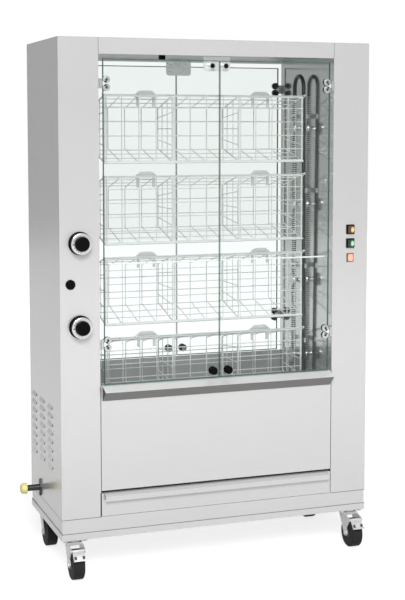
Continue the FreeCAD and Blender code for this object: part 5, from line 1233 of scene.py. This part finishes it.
def looked_at(tree, mirrored):
    """1 where the camera looks, straight or through a pane, and less where a gloss mirrors."""
    rays = add_node(tree, "LightPath")
    seen = worked(tree, "MAXIMUM", out(rays, "Is Camera Ray"), out(rays, "Is Transmission Ray"))
    gloss = worked(tree, "MULTIPLY", out(rays, "Is Glossy Ray"), mirrored)
    return worked(tree, "MAXIMUM", seen, gloss)


def build_world():
    world = bpy.data.worlds.new("studio")
    bpy.context.scene.world = world
    world.use_nodes = True
    tree = world.node_tree
    tree.nodes.clear()
    soft = out(add_node(tree, "Background", {"Color": (1.0, 0.972, 0.962, 1), "Strength": 0.21}))
    white = out(add_node(tree, "Background", {"Color": (1, 1, 1, 1), "Strength": 1.0}))
    mixed = out(add_node(tree, "MixShader", {0: looked_at(tree, 0.45), 1: soft, 2: white}))
    end = add_node(tree, "OutputWorld")
    tree.links.new(mixed, end.inputs["Surface"])


def build_floor():
    made, tree = new_material("studio_floor")
    noise = ranged(tree, stretched_noise(tree, (3, 3, 3)), 0.985, 1.0)
    matt = out(add_node(tree, "BsdfDiffuse", {"Color": scaled(tree, (0.5, 0.5, 0.5), noise)}))
    away = out(add_node(tree, "VectorMath", {0: object_place(tree)}, operation="LENGTH"), "Value")
    strength = ranged(tree, away, 0.76, 1.0, 0.9, 2.2)
    lift = out(add_node(tree, "Emission", {"Color": (1, 1, 1, 1), "Strength": strength}))
    both = out(add_node(tree, "AddShader", {0: matt, 1: lift}))
    close(made, tree, out(add_node(tree, "MixShader", {0: looked_at(tree, 0.8), 1: matt, 2: both})))
    half = FLOOR_HALF_M
    corners = [(-half, -half, 0), (half, -half, 0), (half, half, 0), (-half, half, 0)]
    data = bpy.data.meshes.new("floor")
    data.from_pydata(corners, [], [(0, 1, 2, 3)])
    data.materials.append(made)
    floor = new_object("floor", data)
    floor.location.z = -FLOOR_DROP_M


def add_lamp(name, place_m, target_m, size, power, mirrored=False):
    """A square soft lamp that looks at a target."""
    data = bpy.data.lights.new(name, "AREA")
    data.shape = "SQUARE"
    data.size = size
    data.energy = power
    lamp = new_object(name, data)
    lamp.location = place_m
    lamp.visible_glossy = mirrored
    lamp.rotation_euler = (Vector(target_m) - Vector(place_m)).to_track_quat("-Z", "Y").to_euler()


def build_lamps():
    add_lamp("key", (-2.1, -7.45, 6.0), (MID_X, MID_Y, 0.6), 3.4, 770, True)
    add_lamp("fill", (2.6, -6.0, 1.8), (MID_X, MID_Y, 0.9), 3.0, 60)


def build_camera():
    data = bpy.data.cameras.new("camera")
    data.sensor_fit = "AUTO"
    data.sensor_width = CAMERA_SENSOR
    data.lens = CAMERA_LENS
    data.shift_y = CAMERA_SHIFT
    data.clip_start = 0.05
    data.clip_end = 100
    camera = new_object("camera", data)
    camera.location = at(*CAMERA_PLACE)
    camera.rotation_euler = Euler((radians(90 - CAMERA_DIP), 0, radians(-CAMERA_TURN)))
    bpy.context.scene.camera = camera


dress_nodes()
grip_end_shade()
joint_lines()
build_dust_cap()
build_pedal_slot_shade()
build_baskets()
build_burners()
build_doors()
build_knobs()
build_igniter()
build_switches()
build_pilot_lamp()
build_wheels()
build_world()
build_floor()
build_lamps()
build_camera()
bpy.context.scene.view_settings.view_transform = "Standard"
